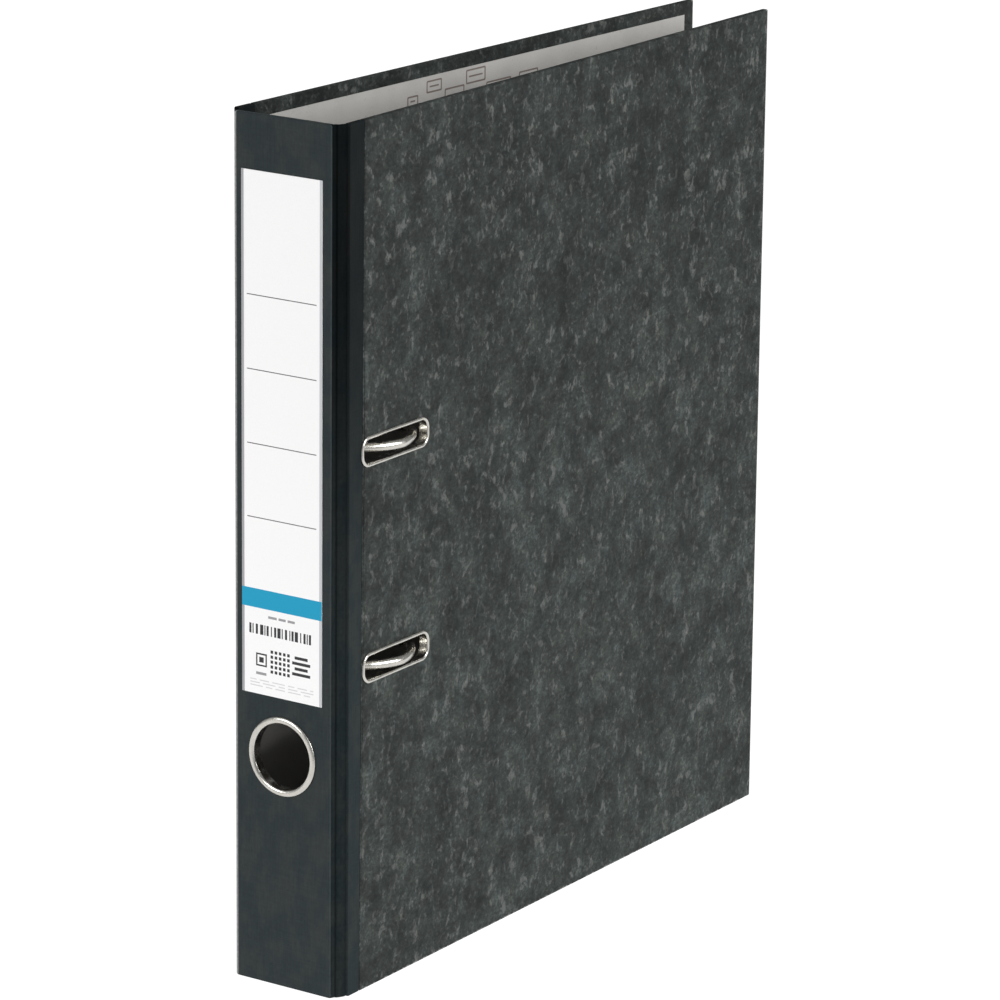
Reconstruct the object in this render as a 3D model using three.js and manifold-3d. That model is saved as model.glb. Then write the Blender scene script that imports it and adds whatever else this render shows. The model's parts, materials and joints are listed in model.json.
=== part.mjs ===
// A lever arch file for A4 paper, shut: two lined board covers joined to a board spine by paper
// joints, and a lever arch mechanism riveted inside the back cover. Its two arches reach through
// slots in the front cover, and a ring in the spine takes a finger.
// Frame: millimetres, +Z up the spine, -Y out of the spine's face, the front cover on +X.
// The origin is under the middle of the shut file, on the surface that it stands on.

import * as THREE from "three";
import { mergeVertices } from "three/addons/utils/BufferGeometryUtils.js";
import Module from "manifold-3d";

const wasm = await Module();
wasm.setup();

// The whole file
const fileHeight = 318;
const fileDepth = 285;
const spineWidth = 42;
const jointOutset = 4.2; // each cover stands this far outside the spine's edge
const jointDepth = 5.5; // and starts this far behind the spine's face
const coverLean = THREE.MathUtils.degToRad(1.43); // the shut covers lean in to the fore edge

// Boards and the papers glued on them
const boardThickness = 1.7;
const paperThickness = 0.25;
const glueGap = 0.1;
const turnInTop = 5;
const turnInFore = 6;
const stripWidth = 7.5; // the spine's paper carries on over the edge of each cover
const jointPaper = 0.4;
const jointSag = 0.9;

// Gaps between metal pieces, and how far a cutter runs past what it cuts
const seatGap = 0.3;
const holeGap = 0.2;
const overrun = 2;

// Spine label and finger ring
const labelSideGap = 3.4; // bare paper beside the label
const labelTopGap = 19.9; // above it
const labelRingGap = 6.95; // and between it and the ring
const labelThickness = 0.2;
const ringHeight = 86.8;
const ringBore = 12.3;
const ringFlange = 2.45;
const ringProud = 0.8;
const ringWall = 0.5;
const ringWasher = 0.6;

// Mechanism: distances from the joint end of the cover, and heights over its lining
const holePitch = 80;
const wireRadius = 1.75;
const archSpan = 38.4;
const archRise = 13.2;
const archProud = 2.6; // height of the wire's centre line over the gap between the covers
const pivotReach = 12;
const pivotHeight = 4.5;
const wireBend = 4;
const crankLength = 18;
const crankWidth = 22;

// Slots of the front cover
const slotWidth = 9.7;
const slotSpare = 0.6;
const slotBackset = 2.1;
const eyeletRim = 1.9;
const eyeletProud = 0.8;
const eyeletWall = 0.5;
const eyeletWasher = 0.4;
const eyeletWasherRim = 1.3;

// Base plate, its bearing lugs and its ears
const plateThickness = 1.2;
const plateStart = 5;
const plateMargin = 6.6; // from the posts' centres to the plate's edge
const plateOverhang = 22; // beyond each post, along the spine
const plateCorner = 5;
const rimHeight = 1.8;
const rimThickness = 1.2;
const lugWall = 1.4;
const lugWidth = 5;
const lugSpacing = 52;
const earThickness = 1.4;
const earRadius = 3.8;

// Posts
const postRadius = 2.3;
const postBore = 1.5;
const postBoreDepth = 6;
const postFootRadius = 3.8;
const postFootHeight = 0.8;
const postTailRadius = 1.6;
const tipGap = 0.4;
const nibLength = 1.2;
const nibRadius = 0.9;
const nibTipRadius = 0.3;

// Rivets that hold the plate to the back cover
const rivetRadius = 1.9;
const rivetHeadRadius = 4.4;
const rivetHeadHeight = 1.2;
const rivetInnerRadius = 3.4;
const rivetInnerHeight = 0.8;
const rivetOverhang = 14; // beyond each post, along the spine

// Leaf spring under the crank
const springThickness = 0.45;
const springWidth = 9;
const springFootGap = 4.5; // from the wire's pivot
const springTipRun = 4; // beyond the crank
const springRivetInset = 3;
const springRivetRadius = 1.2;
const springRivetHead = 2.3;
const springRivetHeight = 0.6;

// Lever, its roller and its pins
const rollerRadius = 4;
const rollerSideGap = 0.4;
const rollerPinRadius = 1.4;
const rollerEdge = 0.8;
const pinGap = 0.2;
const leverPivotOffset = 9; // from the roller to the lever's pivot, along the cover
const leverPivotHeight = 9;
const leverPinRadius = 1.5;
const pinHeadRadius = 2.5;
const pinHeadHeight = 0.8;
const leverGap = 11.2; // between the lever's cheeks
const cheekThickness = 1.2;
const cheekRadius = 3.2;
const cheekEndRadius = 2.1;
const leverEndOffset = 2; // from the wire's pivot, along the cover
const leverEndHeight = 11.2;
const webThickness = 1.2;
const tongueLength = 9;
const tongueWidth = 7;

// Plastic grip on the lever's end
const gripLength = 10.4;
const gripWidth = 19;
const gripThickness = 4.2;
const gripCorner = 3.4;

// Paper compressor and its two clips
const barLength = 148;
const barWidth = 9;
const barThickness = 1;
const barFlange = 2.6;
const barHeight = 4.4;
const barHoleGap = 0.4;
const barCorner = 3;
const clipLength = 16;
const clipWidth = 8;
const clipHeight = 5;
const clipCorner = 2.2;

// How finely round shapes are cut
const ringSegments = 40;
const slotSegments = 6;
const pinSegments = 16;
const jointSegments = 5;
const wireSides = 8;
const wireSteps = 140;
const bevelSteps = 1;
const mergeDistance = 1e-4;

// Sizes that follow from these
const coverThickness = boardThickness + 2 * (paperThickness + glueGap);
const coverDepth = (fileDepth - jointDepth) / Math.cos(coverLean);
const coverOuter = spineWidth / 2 + jointOutset;
const coverSpacing = 2 * (coverOuter - coverThickness);
const boardStart = paperThickness + glueGap;
const labelWidth = spineWidth - 2 * labelSideGap;
const labelTop = fileHeight - labelTopGap;
const labelBottom = ringHeight + ringBore + ringFlange + labelRingGap;
const archTop = coverSpacing + archProud;
const archSpring = archTop - archRise;
const postReach = pivotReach + archSpan;
const postTop = archSpring - tipGap;
const plateTop = seatGap + plateThickness;
const plateEnd = postReach + plateMargin;
const crankReach = pivotReach + crankLength;
const springFootReach = pivotReach + springFootGap;
const springRivetReach = springFootReach + springRivetInset;
const springTipReach = crankReach + springTipRun;
const rollerHeight = pivotHeight + wireRadius + rollerRadius + seatGap;
const rollerWidth = leverGap - 2 * rollerSideGap;
const leverEndReach = pivotReach + leverEndOffset;
const leverPivotReach = crankReach + leverPivotOffset;

// What each surface is made of
const finish = (color, roughness, metalness) =>
  new THREE.MeshStandardMaterial({ color, roughness, metalness });
const darkPaper = finish(0x33393c, 0.75, 0);
const cloudPaper = finish(0x454b49, 0.7, 0);
const greyLining = finish(0xa9a39c, 0.85, 0);
const labelPaper = finish(0xf2f2f0, 0.6, 0);
const greyBoard = finish(0x8d8478, 0.95, 0);
const nickel = finish(0xc8c5bc, 0.28, 0.95);
const plasticBlack = finish(0x1b1c1d, 0.45, 0);

// A closed geometry as a solid that can be joined and cut, and back again.
function solidOf(geometry) {
  const bare = geometry.index ? geometry.toNonIndexed() : geometry.clone();
  for (const name of Object.keys(bare.attributes)) {
    if (name !== "position") bare.deleteAttribute(name);
  }
  const merged = mergeVertices(bare, mergeDistance);
  return new wasm.Manifold(
    new wasm.Mesh({
      numProp: 3,
      vertProperties: merged.attributes.position.array,
      triVerts: new Uint32Array(merged.index.array),
    }),
  );
}

function geometryOf(solid) {
  const mesh = solid.getMesh();
  const geometry = new THREE.BufferGeometry();
  geometry.setAttribute("position", new THREE.BufferAttribute(mesh.vertProperties, 3));
  geometry.setIndex(new THREE.BufferAttribute(mesh.triVerts, 1));
  geometry.computeVertexNormals();
  return geometry;
}

const joined = (solids) => solids.reduce((all, next) => all.add(next));
const cutBy = (solid, cutters) => cutters.reduce((rest, cutter) => rest.subtract(cutter), solid);

// Turns a form made about Z, or drawn on XY and raised along Z, to stand along another axis.
const xAxis = new THREE.Vector3(1, 0, 0);
const yAxis = new THREE.Vector3(0, 1, 0);
const zAxis = new THREE.Vector3(0, 0, 1);
const alongX = new THREE.Matrix4().makeBasis(yAxis, zAxis, xAxis);
const alongY = new THREE.Matrix4().makeBasis(zAxis, xAxis, yAxis);
const alongZ = new THREE.Matrix4();

// A block between two corners, given as pairs along X, Y and Z.
function block(x, y, z) {
  const size = [x, y, z].map((pair) => Math.abs(pair[1] - pair[0]));
  const middle = [x, y, z].map((pair) => (pair[0] + pair[1]) / 2);
  return solidOf(new THREE.BoxGeometry(...size).translate(...middle));
}

// A flat outline raised from one level to another along an axis.
function raised(shape, levels, axis) {
  const geometry = new THREE.ExtrudeGeometry(shape, {
    depth: levels[1] - levels[0],
    bevelEnabled: false,
    curveSegments: slotSegments,
  });
  return solidOf(geometry.translate(0, 0, levels[0]).applyMatrix4(axis));
}

// A turned form about an axis: its outline is a list of radius and height, going up its outside.
function turned(outline, axis, place = [0, 0, 0], segments = pinSegments) {
  const points = outline.map(([radius, height]) => new THREE.Vector2(radius, height));
  const geometry = new THREE.LatheGeometry(points, segments);
  return solidOf(geometry.applyMatrix4(alongX).applyMatrix4(axis).translate(...place));
}

// A round bar about an axis, from one level to another.
const bar = (radius, levels, axis, place) =>
  turned([[0, levels[0]], [radius, levels[0]], [radius, levels[1]], [0, levels[1]]], axis, place);

// A rectangle with round corners about a middle point.
function roundedOutline(width, length, corner, middle = [0, 0]) {
  const [left, bottom] = [middle[0] - width / 2, middle[1] - length / 2];
  const [right, top] = [left + width, bottom + length];
  const shape = new THREE.Shape();
  shape.moveTo(left + corner, bottom);
  shape.lineTo(right - corner, bottom);
  shape.absarc(right - corner, bottom + corner, corner, -Math.PI / 2, 0);
  shape.lineTo(right, top - corner);
  shape.absarc(right - corner, top - corner, corner, 0, Math.PI / 2);
  shape.lineTo(left + corner, top);
  shape.absarc(left + corner, top - corner, corner, Math.PI / 2, Math.PI);
  shape.lineTo(left, bottom + corner);
  shape.absarc(left + corner, bottom + corner, corner, Math.PI, 1.5 * Math.PI);
  return shape;
}

// The outline round two circles and the straight lines that touch both.
function linkOutline(from, fromRadius, to, toRadius) {
  const run = new THREE.Vector2(to[0] - from[0], to[1] - from[1]);
  const along = run.angle();
  const spread = Math.acos((fromRadius - toRadius) / run.length());
  const shape = new THREE.Shape();
  shape.absarc(...from, fromRadius, along + spread, along - spread + 2 * Math.PI);
  shape.absarc(...to, toRadius, along - spread, along + spread);
  shape.closePath();
  return shape;
}

function named(name, solid, material) {
  const mesh = new THREE.Mesh(geometryOf(solid), material);
  mesh.name = name;
  return mesh;
}

// A cover lies in its own group: its outer face at X zero, its joint end at Y zero, standing on
// Z zero. Depths are counted from the outer face towards the inside of the file.
function coverGroup(side) {
  const group = new THREE.Group();
  group.position.set(side * coverOuter, jointDepth, 0);
  group.rotation.z = side * coverLean;
  return group;
}

function coverPieces(name, side, cutters) {
  const layer = (depths, along, up) => block(depths.map((depth) => -side * depth), along, up);
  const inner = [coverThickness - paperThickness, coverThickness];
  const whole = [0, coverThickness];
  const wrapRun = [stripWidth + glueGap, coverDepth];
  const topEdge = [fileHeight - paperThickness, fileHeight];
  const topTurnIn = [fileHeight - turnInTop, fileHeight];
  const boardDepths = [boardStart, boardStart + boardThickness];
  const board = layer(boardDepths, [0, coverDepth - boardStart], [0, fileHeight - boardStart]);
  const wrap = joined([
    layer([0, paperThickness], wrapRun, [0, fileHeight]),
    layer(whole, wrapRun, topEdge),
    layer(whole, [coverDepth - paperThickness, coverDepth], [0, fileHeight]),
    layer(inner, wrapRun, topTurnIn),
    layer(inner, wrapRun, [0, turnInTop]),
    layer(inner, [coverDepth - turnInFore, coverDepth], [0, fileHeight]),
  ]);
  const strip = joined([
    layer([0, paperThickness], [0, stripWidth], [0, fileHeight]),
    layer(whole, [0, stripWidth], topEdge),
    layer(inner, [0, stripWidth], topTurnIn),
  ]);
  const lining = layer(
    inner,
    [0, coverDepth - turnInFore - glueGap],
    [turnInTop + glueGap, fileHeight - turnInTop - glueGap],
  );
  return [
    named(name + "_board", cutBy(board, cutters), greyBoard),
    named(name + "_wrap", cutBy(wrap, cutters), cloudPaper),
    named(name + "_strip", strip, darkPaper),
    named(name + "_lining", cutBy(lining, cutters), greyLining),
  ];
}

// A slot's outline on the front cover, grown by a margin: along the cover and up it.
const slotInner = archSpan + slotSpare;
const slotMiddle = pivotReach + archSpan / 2 - slotBackset;

function slotOutline(margin, height) {
  const width = slotInner + 2 * margin;
  const length = slotWidth + 2 * margin;
  return roundedOutline(width, length, length / 2, [slotMiddle, height]);
}

// An eyelet: a flange on the outer face, and a barrel that lines the slot.
function slotEyelet(height) {
  const flange = slotOutline(eyeletRim - eyeletProud / 2, height);
  const bevelled = new THREE.ExtrudeGeometry(flange, {
    depth: eyeletProud / 2,
    bevelThickness: eyeletProud / 2,
    bevelSize: eyeletProud / 2,
    bevelSegments: bevelSteps,
    curveSegments: slotSegments,
  });
  const seated = bevelled.translate(0, 0, glueGap).applyMatrix4(alongX);
  const underside = glueGap - eyeletProud - overrun;
  const trim = raised(slotOutline(2 * eyeletRim, height), [underside, glueGap], alongX);
  const barrelEnd = -(coverThickness + glueGap + eyeletWasher + glueGap);
  const barrel = raised(slotOutline(eyeletWall, height), [barrelEnd, glueGap + eyeletProud / 2], alongX);
  const hole = raised(slotOutline(0, height), [barrelEnd - overrun, eyeletProud + overrun], alongX);
  return cutBy(joined([cutBy(solidOf(seated), [trim]), barrel]), [hole]);
}

function slotWasher(height) {
  const face = -(coverThickness + glueGap);
  const rim = slotOutline(eyeletWall + eyeletWasherRim, height);
  const hole = raised(slotOutline(eyeletWall + holeGap, height), [face - overrun, overrun], alongX);
  return cutBy(raised(rim, [face - eyeletWasher, face], alongX), [hole]);
}

function frontCover() {
  const group = coverGroup(1);
  const heights = { upper: (fileHeight + holePitch) / 2, lower: (fileHeight - holePitch) / 2 };
  const through = [-coverThickness - overrun, overrun];
  const cutters = Object.values(heights).map((height) =>
    raised(slotOutline(eyeletWall + holeGap, height), through, alongX),
  );
  group.add(...coverPieces("front_cover", 1, cutters));
  for (const [place, height] of Object.entries(heights)) {
    group.add(named("slot_eyelet_" + place, slotEyelet(height), nickel));
    group.add(named("slot_washer_" + place, slotWasher(height), nickel));
  }
  return group;
}

// The spine: boards and papers like a cover's, with its face at Y zero.
function spineGroup() {
  const group = new THREE.Group();
  const halfWidth = spineWidth / 2;
  const across = [-halfWidth, halfWidth];
  const layer = (depths, up, inset = 0) => block([inset - halfWidth, halfWidth - inset], depths, up);
  const inner = [coverThickness - paperThickness, coverThickness];
  const barrelRadius = ringBore + ringWall;
  const fingerHole = [
    turned(
      [
        [0, -overrun],
        [barrelRadius + holeGap, -overrun],
        [barrelRadius + holeGap, coverThickness + overrun],
        [0, coverThickness + overrun],
      ],
      alongY,
      [0, 0, ringHeight],
      ringSegments,
    ),
  ];
  const board = layer([boardStart, boardStart + boardThickness], [0, fileHeight - boardStart]);
  const wrap = joined([
    layer([0, paperThickness], [0, fileHeight]),
    block(across, [0, coverThickness], [fileHeight - paperThickness, fileHeight]),
    layer(inner, [fileHeight - turnInTop, fileHeight]),
  ]);
  const lining = layer(inner, [turnInTop + glueGap, fileHeight - turnInTop - glueGap]);
  group.add(named("spine_board", cutBy(board, fingerHole), greyBoard));
  group.add(named("spine_wrap", cutBy(wrap, fingerHole), darkPaper));
  group.add(named("spine_lining", cutBy(lining, fingerHole), darkPaper));
  const labelDepths = [-glueGap - labelThickness, -glueGap];
  const label = block([-labelWidth / 2, labelWidth / 2], labelDepths, [labelBottom, labelTop]);
  group.add(named("spine_label", label, labelPaper));

  // The ring's outline goes down its bore and back up outside the barrel and flange.
  const flangeRadius = ringBore + ringFlange;
  const ringEnd = coverThickness + ringWasher + 2 * glueGap;
  const ring = turned(
    [
      [ringBore, -glueGap - ringProud / 2],
      [ringBore + ringProud / 2, -glueGap - ringProud],
      [flangeRadius - ringProud / 2, -glueGap - ringProud],
      [flangeRadius, -glueGap - ringProud / 2],
      [flangeRadius, -glueGap],
      [barrelRadius, -glueGap],
      [barrelRadius, ringEnd],
      [ringBore, ringEnd],
      [ringBore, -glueGap - ringProud / 2],
    ],
    alongY,
    [0, 0, ringHeight],
    ringSegments,
  );
  const washerFace = coverThickness + glueGap;
  const washer = turned(
    [
      [barrelRadius + holeGap, washerFace],
      [flangeRadius, washerFace],
      [flangeRadius, washerFace + ringWasher],
      [barrelRadius + holeGap, washerFace + ringWasher],
      [barrelRadius + holeGap, washerFace],
    ],
    alongY,
    [0, 0, ringHeight],
    ringSegments,
  );
  group.add(named("finger_ring", ring, nickel));
  group.add(named("finger_ring_washer", washer, nickel));
  for (const [name, side] of [["front", 1], ["back", -1]]) {
    group.add(named(name + "_joint_outer", jointStrip(side, false), darkPaper));
    group.add(named(name + "_joint_inner", jointStrip(side, true), darkPaper));
  }
  return group;
}

// The paper that crosses a joint: outside from the spine's face to a cover's outer face, or
// inside from the spine's lining to a cover's lining.
function jointStrip(side, inside) {
  const thickness = inside ? paperThickness : jointPaper;
  const spineEdge = spineWidth / 2 + seatGap;
  const coverEdge = jointDepth - seatGap;
  const startLevel = inside ? coverThickness - paperThickness : 0;
  const endLevel = inside ? coverOuter - coverThickness + paperThickness : coverOuter;
  const sag = inside ? 0 : jointSag;
  const bend = [(spineEdge + endLevel) / 2 - sag, (startLevel + coverEdge) / 2 + sag];
  const points = [
    ...new THREE.QuadraticBezierCurve(
      new THREE.Vector2(spineEdge, startLevel),
      new THREE.Vector2(...bend),
      new THREE.Vector2(endLevel, coverEdge),
    ).getPoints(jointSegments),
    ...new THREE.QuadraticBezierCurve(
      new THREE.Vector2(endLevel - thickness, coverEdge),
      new THREE.Vector2(bend[0] - thickness, bend[1] + thickness),
      new THREE.Vector2(spineEdge, startLevel + thickness),
    ).getPoints(jointSegments),
  ].map((point) => new THREE.Vector2(side * point.x, point.y));
  const ends = inside ? [turnInTop + glueGap, fileHeight - turnInTop - glueGap] : [0, fileHeight];
  return raised(new THREE.Shape(points), ends, alongZ);
}

// The mechanism's group has heights over the lining along X, distances from the joint along Y,
// and its middle at Z zero.
const postPlaces = { upper: holePitch / 2, lower: -holePitch / 2 };
const rivetRise = holePitch / 2 + rivetOverhang;
const rivetPlaces = {
  rivet_upper_inner: [pivotReach, rivetRise],
  rivet_upper_outer: [postReach, rivetRise],
  rivet_lower_inner: [pivotReach, -rivetRise],
  rivet_lower_outer: [postReach, -rivetRise],
};

// A standing lug or ear of the plate: a block up to a pivot, and a round end about it.
function standingEar(reach, height, radius, span) {
  const foot = seatGap + plateThickness / 2;
  return joined([
    block([foot, height], [reach - radius, reach + radius], span),
    bar(radius, span, alongZ, [height, reach, 0]),
  ]);
}

function basePlate() {
  const halfLength = holePitch / 2 + plateOverhang;
  const width = plateEnd - plateStart;
  const outline = roundedOutline(width, 2 * halfLength, plateCorner, [plateStart + width / 2, 0]);
  const rimRun = [plateCorner - halfLength, halfLength - plateCorner];
  const rimLevels = [seatGap, plateTop + rimHeight];
  const lugRadius = wireRadius + holeGap + lugWall;
  const cheekOuter = leverGap / 2 + cheekThickness;
  const earStart = cheekOuter + seatGap;
  const lugs = [-lugSpacing / 2, lugSpacing / 2].map((middle) =>
    standingEar(pivotReach, pivotHeight, lugRadius, [middle - lugWidth / 2, middle + lugWidth / 2]),
  );
  const ears = [[-earStart - earThickness, -earStart], [earStart, earStart + earThickness]].map(
    (span) => standingEar(leverPivotReach, leverPivotHeight, earRadius, span),
  );
  const sheet = joined([
    raised(outline, [seatGap, plateTop], alongX),
    block(rimLevels, [plateStart, plateStart + rimThickness], rimRun),
    block(rimLevels, [plateEnd - rimThickness, plateEnd], rimRun),
    ...lugs,
    ...ears,
  ]);
  const through = [seatGap - overrun, plateTop + overrun];
  const pivotRun = [-halfLength, halfLength];
  return cutBy(sheet, [
    bar(wireRadius + holeGap, pivotRun, alongZ, [pivotHeight, pivotReach, 0]),
    bar(leverPinRadius + pinGap, pivotRun, alongZ, [leverPivotHeight, leverPivotReach, 0]),
    bar(springRivetRadius + holeGap, through, alongX, [0, springRivetReach, 0]),
    ...Object.values(postPlaces).map((rise) =>
      bar(postTailRadius + holeGap, through, alongX, [0, postReach, rise]),
    ),
    ...Object.values(rivetPlaces).map(([reach, rise]) =>
      bar(rivetRadius + holeGap, through, alongX, [0, reach, rise]),
    ),
  ]);
}

function post(rise) {
  const foot = plateTop + seatGap;
  return turned(
    [
      [0, seatGap],
      [postTailRadius, seatGap],
      [postTailRadius, foot],
      [postFootRadius, foot],
      [postFootRadius, foot + postFootHeight / 2],
      [postRadius, foot + postFootHeight],
      [postRadius, postTop - tipGap],
      [postRadius - tipGap / 2, postTop],
      [postBore, postTop],
      [postBore, postTop - postBoreDepth],
      [0, postTop - postBoreDepth],
    ],
    alongX,
    [0, postReach, rise],
  );
}

function rivet(reach, rise) {
  const outer = -(coverThickness + glueGap);
  const inner = plateTop + seatGap;
  return turned(
    [
      [0, outer - rivetHeadHeight],
      [rivetHeadRadius / 2, outer - rivetHeadHeight],
      [rivetHeadRadius - rivetHeadHeight / 2, outer - rivetHeadHeight / 2],
      [rivetHeadRadius, outer],
      [rivetRadius, outer],
      [rivetRadius, inner],
      [rivetInnerRadius, inner],
      [rivetInnerRadius - rivetInnerHeight / 2, inner + rivetInnerHeight],
      [0, inner + rivetInnerHeight],
    ],
    alongX,
    [0, reach, rise],
  );
}

// The spring lies pressed flat under the crank, bowed a little, its tip turned down.
function leafSpring() {
  const foot = plateTop + seatGap;
  const top = pivotHeight - wireRadius - seatGap;
  const rest = foot + springThickness;
  const bow = new THREE.Shape();
  bow.moveTo(foot, springFootReach);
  bow.lineTo(rest, springFootReach);
  bow.lineTo(rest, springRivetReach + springRivetHead);
  bow.quadraticCurveTo(rest, crankReach - springWidth / 2, top, crankReach);
  bow.quadraticCurveTo(top, springTipReach, rest, springTipReach);
  bow.lineTo(foot, springTipReach);
  bow.quadraticCurveTo(top - springThickness, springTipReach, top - springThickness, crankReach);
  bow.quadraticCurveTo(foot, crankReach - springWidth / 2, foot, springRivetReach + springRivetHead);
  const strip = raised(bow, [-springWidth / 2, springWidth / 2], alongZ);
  const through = [foot - overrun, rest + overrun];
  return cutBy(strip, [bar(springRivetRadius + holeGap, through, alongX, [0, springRivetReach, 0])]);
}

function springRivet() {
  const seat = plateTop + seatGap + springThickness + glueGap;
  return turned(
    [
      [0, seatGap],
      [springRivetRadius, seatGap],
      [springRivetRadius, seat],
      [springRivetHead, seat],
      [springRivetHead - springRivetHeight / 2, seat + springRivetHeight],
      [0, seat + springRivetHeight],
    ],
    alongX,
    [0, springRivetReach, 0],
  );
}

// A pin along Z with a head at each end.
function headedPin(radius, halfLength, height, reach) {
  return turned(
    [
      [0, -halfLength - pinHeadHeight],
      [pinHeadRadius - pinHeadHeight / 2, -halfLength - pinHeadHeight],
      [pinHeadRadius, -halfLength],
      [radius, -halfLength],
      [radius, halfLength],
      [pinHeadRadius, halfLength],
      [pinHeadRadius - pinHeadHeight / 2, halfLength + pinHeadHeight],
      [0, halfLength + pinHeadHeight],
    ],
    alongZ,
    [height, reach, 0],
  );
}

// Half an ellipse in a plane of constant rise, from one foot of an arch to the other.
class ArchCurve extends THREE.Curve {
  constructor(rise, fromPost) {
    super();
    this.rise = rise;
    this.fromPost = fromPost;
  }
  getPoint(share, target = new THREE.Vector3()) {
    const angle = Math.PI * (this.fromPost ? share : 1 - share);
    const middle = pivotReach + archSpan / 2;
    const height = archSpring + archRise * Math.sin(angle);
    return target.set(height, middle + (archSpan / 2) * Math.cos(angle), this.rise);
  }
}

// Straight runs between corners, with a bend at each corner between the ends.
function bentRuns(corners, bend) {
  const points = corners.map((corner) => new THREE.Vector3(...corner));
  const runs = [];
  let from = points[0];
  for (let i = 1; i < points.length; i++) {
    const last = i === points.length - 1;
    const back = points[i - 1].clone().sub(points[i]).setLength(bend);
    const before = last ? points[i] : points[i].clone().add(back);
    runs.push(new THREE.LineCurve3(from, before));
    if (!last) {
      const ahead = points[i + 1].clone().sub(points[i]).setLength(bend);
      from = points[i].clone().add(ahead);
      runs.push(new THREE.QuadraticBezierCurve3(before, points[i], from));
    }
  }
  return runs;
}

// One bent wire: post to arch, down to the pivot, out to the crank's crossbar, and the same back.
function archWire() {
  const path = new THREE.CurvePath();
  const [rise, crank] = [holePitch / 2, crankWidth / 2];
  path.curves = [
    new ArchCurve(rise, true),
    ...bentRuns(
      [
        [archSpring, pivotReach, rise],
        [pivotHeight, pivotReach, rise],
        [pivotHeight, pivotReach, crank],
        [pivotHeight, crankReach, crank],
        [pivotHeight, crankReach, -crank],
        [pivotHeight, pivotReach, -crank],
        [pivotHeight, pivotReach, -rise],
        [archSpring, pivotReach, -rise],
      ],
      wireBend,
    ),
    new ArchCurve(-rise, false),
  ];
  const section = new THREE.Shape();
  section.absarc(0, 0, wireRadius, 0, 2 * Math.PI);
  const sides = new THREE.Shape(section.getSpacedPoints(wireSides).slice(0, wireSides));
  const tube = new THREE.ExtrudeGeometry(sides, { steps: wireSteps, extrudePath: path });
  const nibs = Object.values(postPlaces).map((place) =>
    turned(
      [
        [0, archSpring - nibLength],
        [nibTipRadius, archSpring - nibLength],
        [nibRadius, archSpring],
        [nibRadius, archSpring + nibLength],
        [0, archSpring + nibLength],
      ],
      alongX,
      [0, postReach, place],
    ),
  );
  return joined([solidOf(tube), ...nibs]);
}

// The lever: two cheeks and a web over them, ending in a tongue that carries the grip.
function leverArm() {
  const cheek = (span) =>
    joined([
      raised(
        linkOutline(
          [leverPivotHeight, leverPivotReach],
          cheekRadius,
          [rollerHeight, crankReach],
          cheekRadius,
        ),
        span,
        alongZ,
      ),
      raised(
        linkOutline(
          [rollerHeight, crankReach],
          cheekRadius,
          [leverEndHeight, leverEndReach],
          cheekEndRadius,
        ),
        span,
        alongZ,
      ),
    ]);
  const inner = leverGap / 2;
  const outer = inner + cheekThickness;
  const webTop = leverEndHeight + cheekEndRadius;
  const webEnd = crankReach - rollerRadius - webThickness;
  const tongueTop = leverEndHeight + webThickness / 2;
  const tongueStart = leverEndReach - cheekEndRadius - tongueLength;
  const arm = joined([
    cheek([-outer, -inner]),
    cheek([inner, outer]),
    block([webTop - webThickness, webTop], [leverEndReach, webEnd], [-outer, outer]),
    block(
      [leverEndHeight - cheekEndRadius / 2, webTop],
      [leverEndReach - webThickness, leverEndReach],
      [-outer, outer],
    ),
    block(
      [tongueTop - webThickness, tongueTop],
      [tongueStart, leverEndReach],
      [-tongueWidth / 2, tongueWidth / 2],
    ),
  ]);
  const run = [-outer - overrun, outer + overrun];
  return cutBy(arm, [
    bar(leverPinRadius + pinGap, run, alongZ, [leverPivotHeight, leverPivotReach, 0]),
    bar(rollerPinRadius + pinGap, run, alongZ, [rollerHeight, crankReach, 0]),
  ]);
}

// The grip: a rounded pad moulded over the tongue.
function leverGrip() {
  const middle = leverEndHeight;
  const levels = [middle - gripThickness / 2, middle + gripThickness / 2];
  const tongueStart = leverEndReach - cheekEndRadius - tongueLength;
  const padEnd = leverEndReach - cheekEndRadius - seatGap;
  const padStart = tongueStart + tongueLength - gripLength;
  const pad = roundedOutline(padEnd - padStart, gripWidth, gripCorner, [(padStart + padEnd) / 2, 0]);
  const pocket = block(
    [middle - webThickness / 2 - seatGap, middle + webThickness / 2 + seatGap],
    [tongueStart - seatGap, padEnd + overrun],
    [-tongueWidth / 2 - seatGap, tongueWidth / 2 + seatGap],
  );
  return cutBy(raised(pad, levels, alongX), [pocket]);
}

// The roller: a wheel with rounded rims, turning on its pin between the cheeks.
function roller() {
  const [half, bore] = [rollerWidth / 2, rollerPinRadius + pinGap];
  return turned(
    [
      [bore, -half],
      [rollerRadius - rollerEdge, -half],
      [rollerRadius, rollerEdge - half],
      [rollerRadius, half - rollerEdge],
      [rollerRadius - rollerEdge, half],
      [bore, half],
      [bore, -half],
    ],
    alongZ,
    [rollerHeight, crankReach, 0],
  );
}

// The compressor: a shallow channel threaded on both posts.
function compressorBar() {
  const outline = roundedOutline(barWidth, barLength, barCorner, [postReach, 0]);
  const edges = [postReach - barWidth / 2, postReach + barWidth / 2];
  const top = barHeight + barFlange;
  const run = [barCorner - barLength / 2, barLength / 2 - barCorner];
  const channel = joined([
    raised(outline, [top - barThickness, top], alongX),
    block([barHeight, top], [edges[0], edges[0] + barThickness], run),
    block([barHeight, top], [edges[1] - barThickness, edges[1]], run),
  ]);
  const holes = Object.values(postPlaces).map((rise) =>
    bar(postRadius + barHoleGap, [barHeight, top + overrun], alongX, [0, postReach, rise]),
  );
  return cutBy(channel, holes);
}

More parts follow.
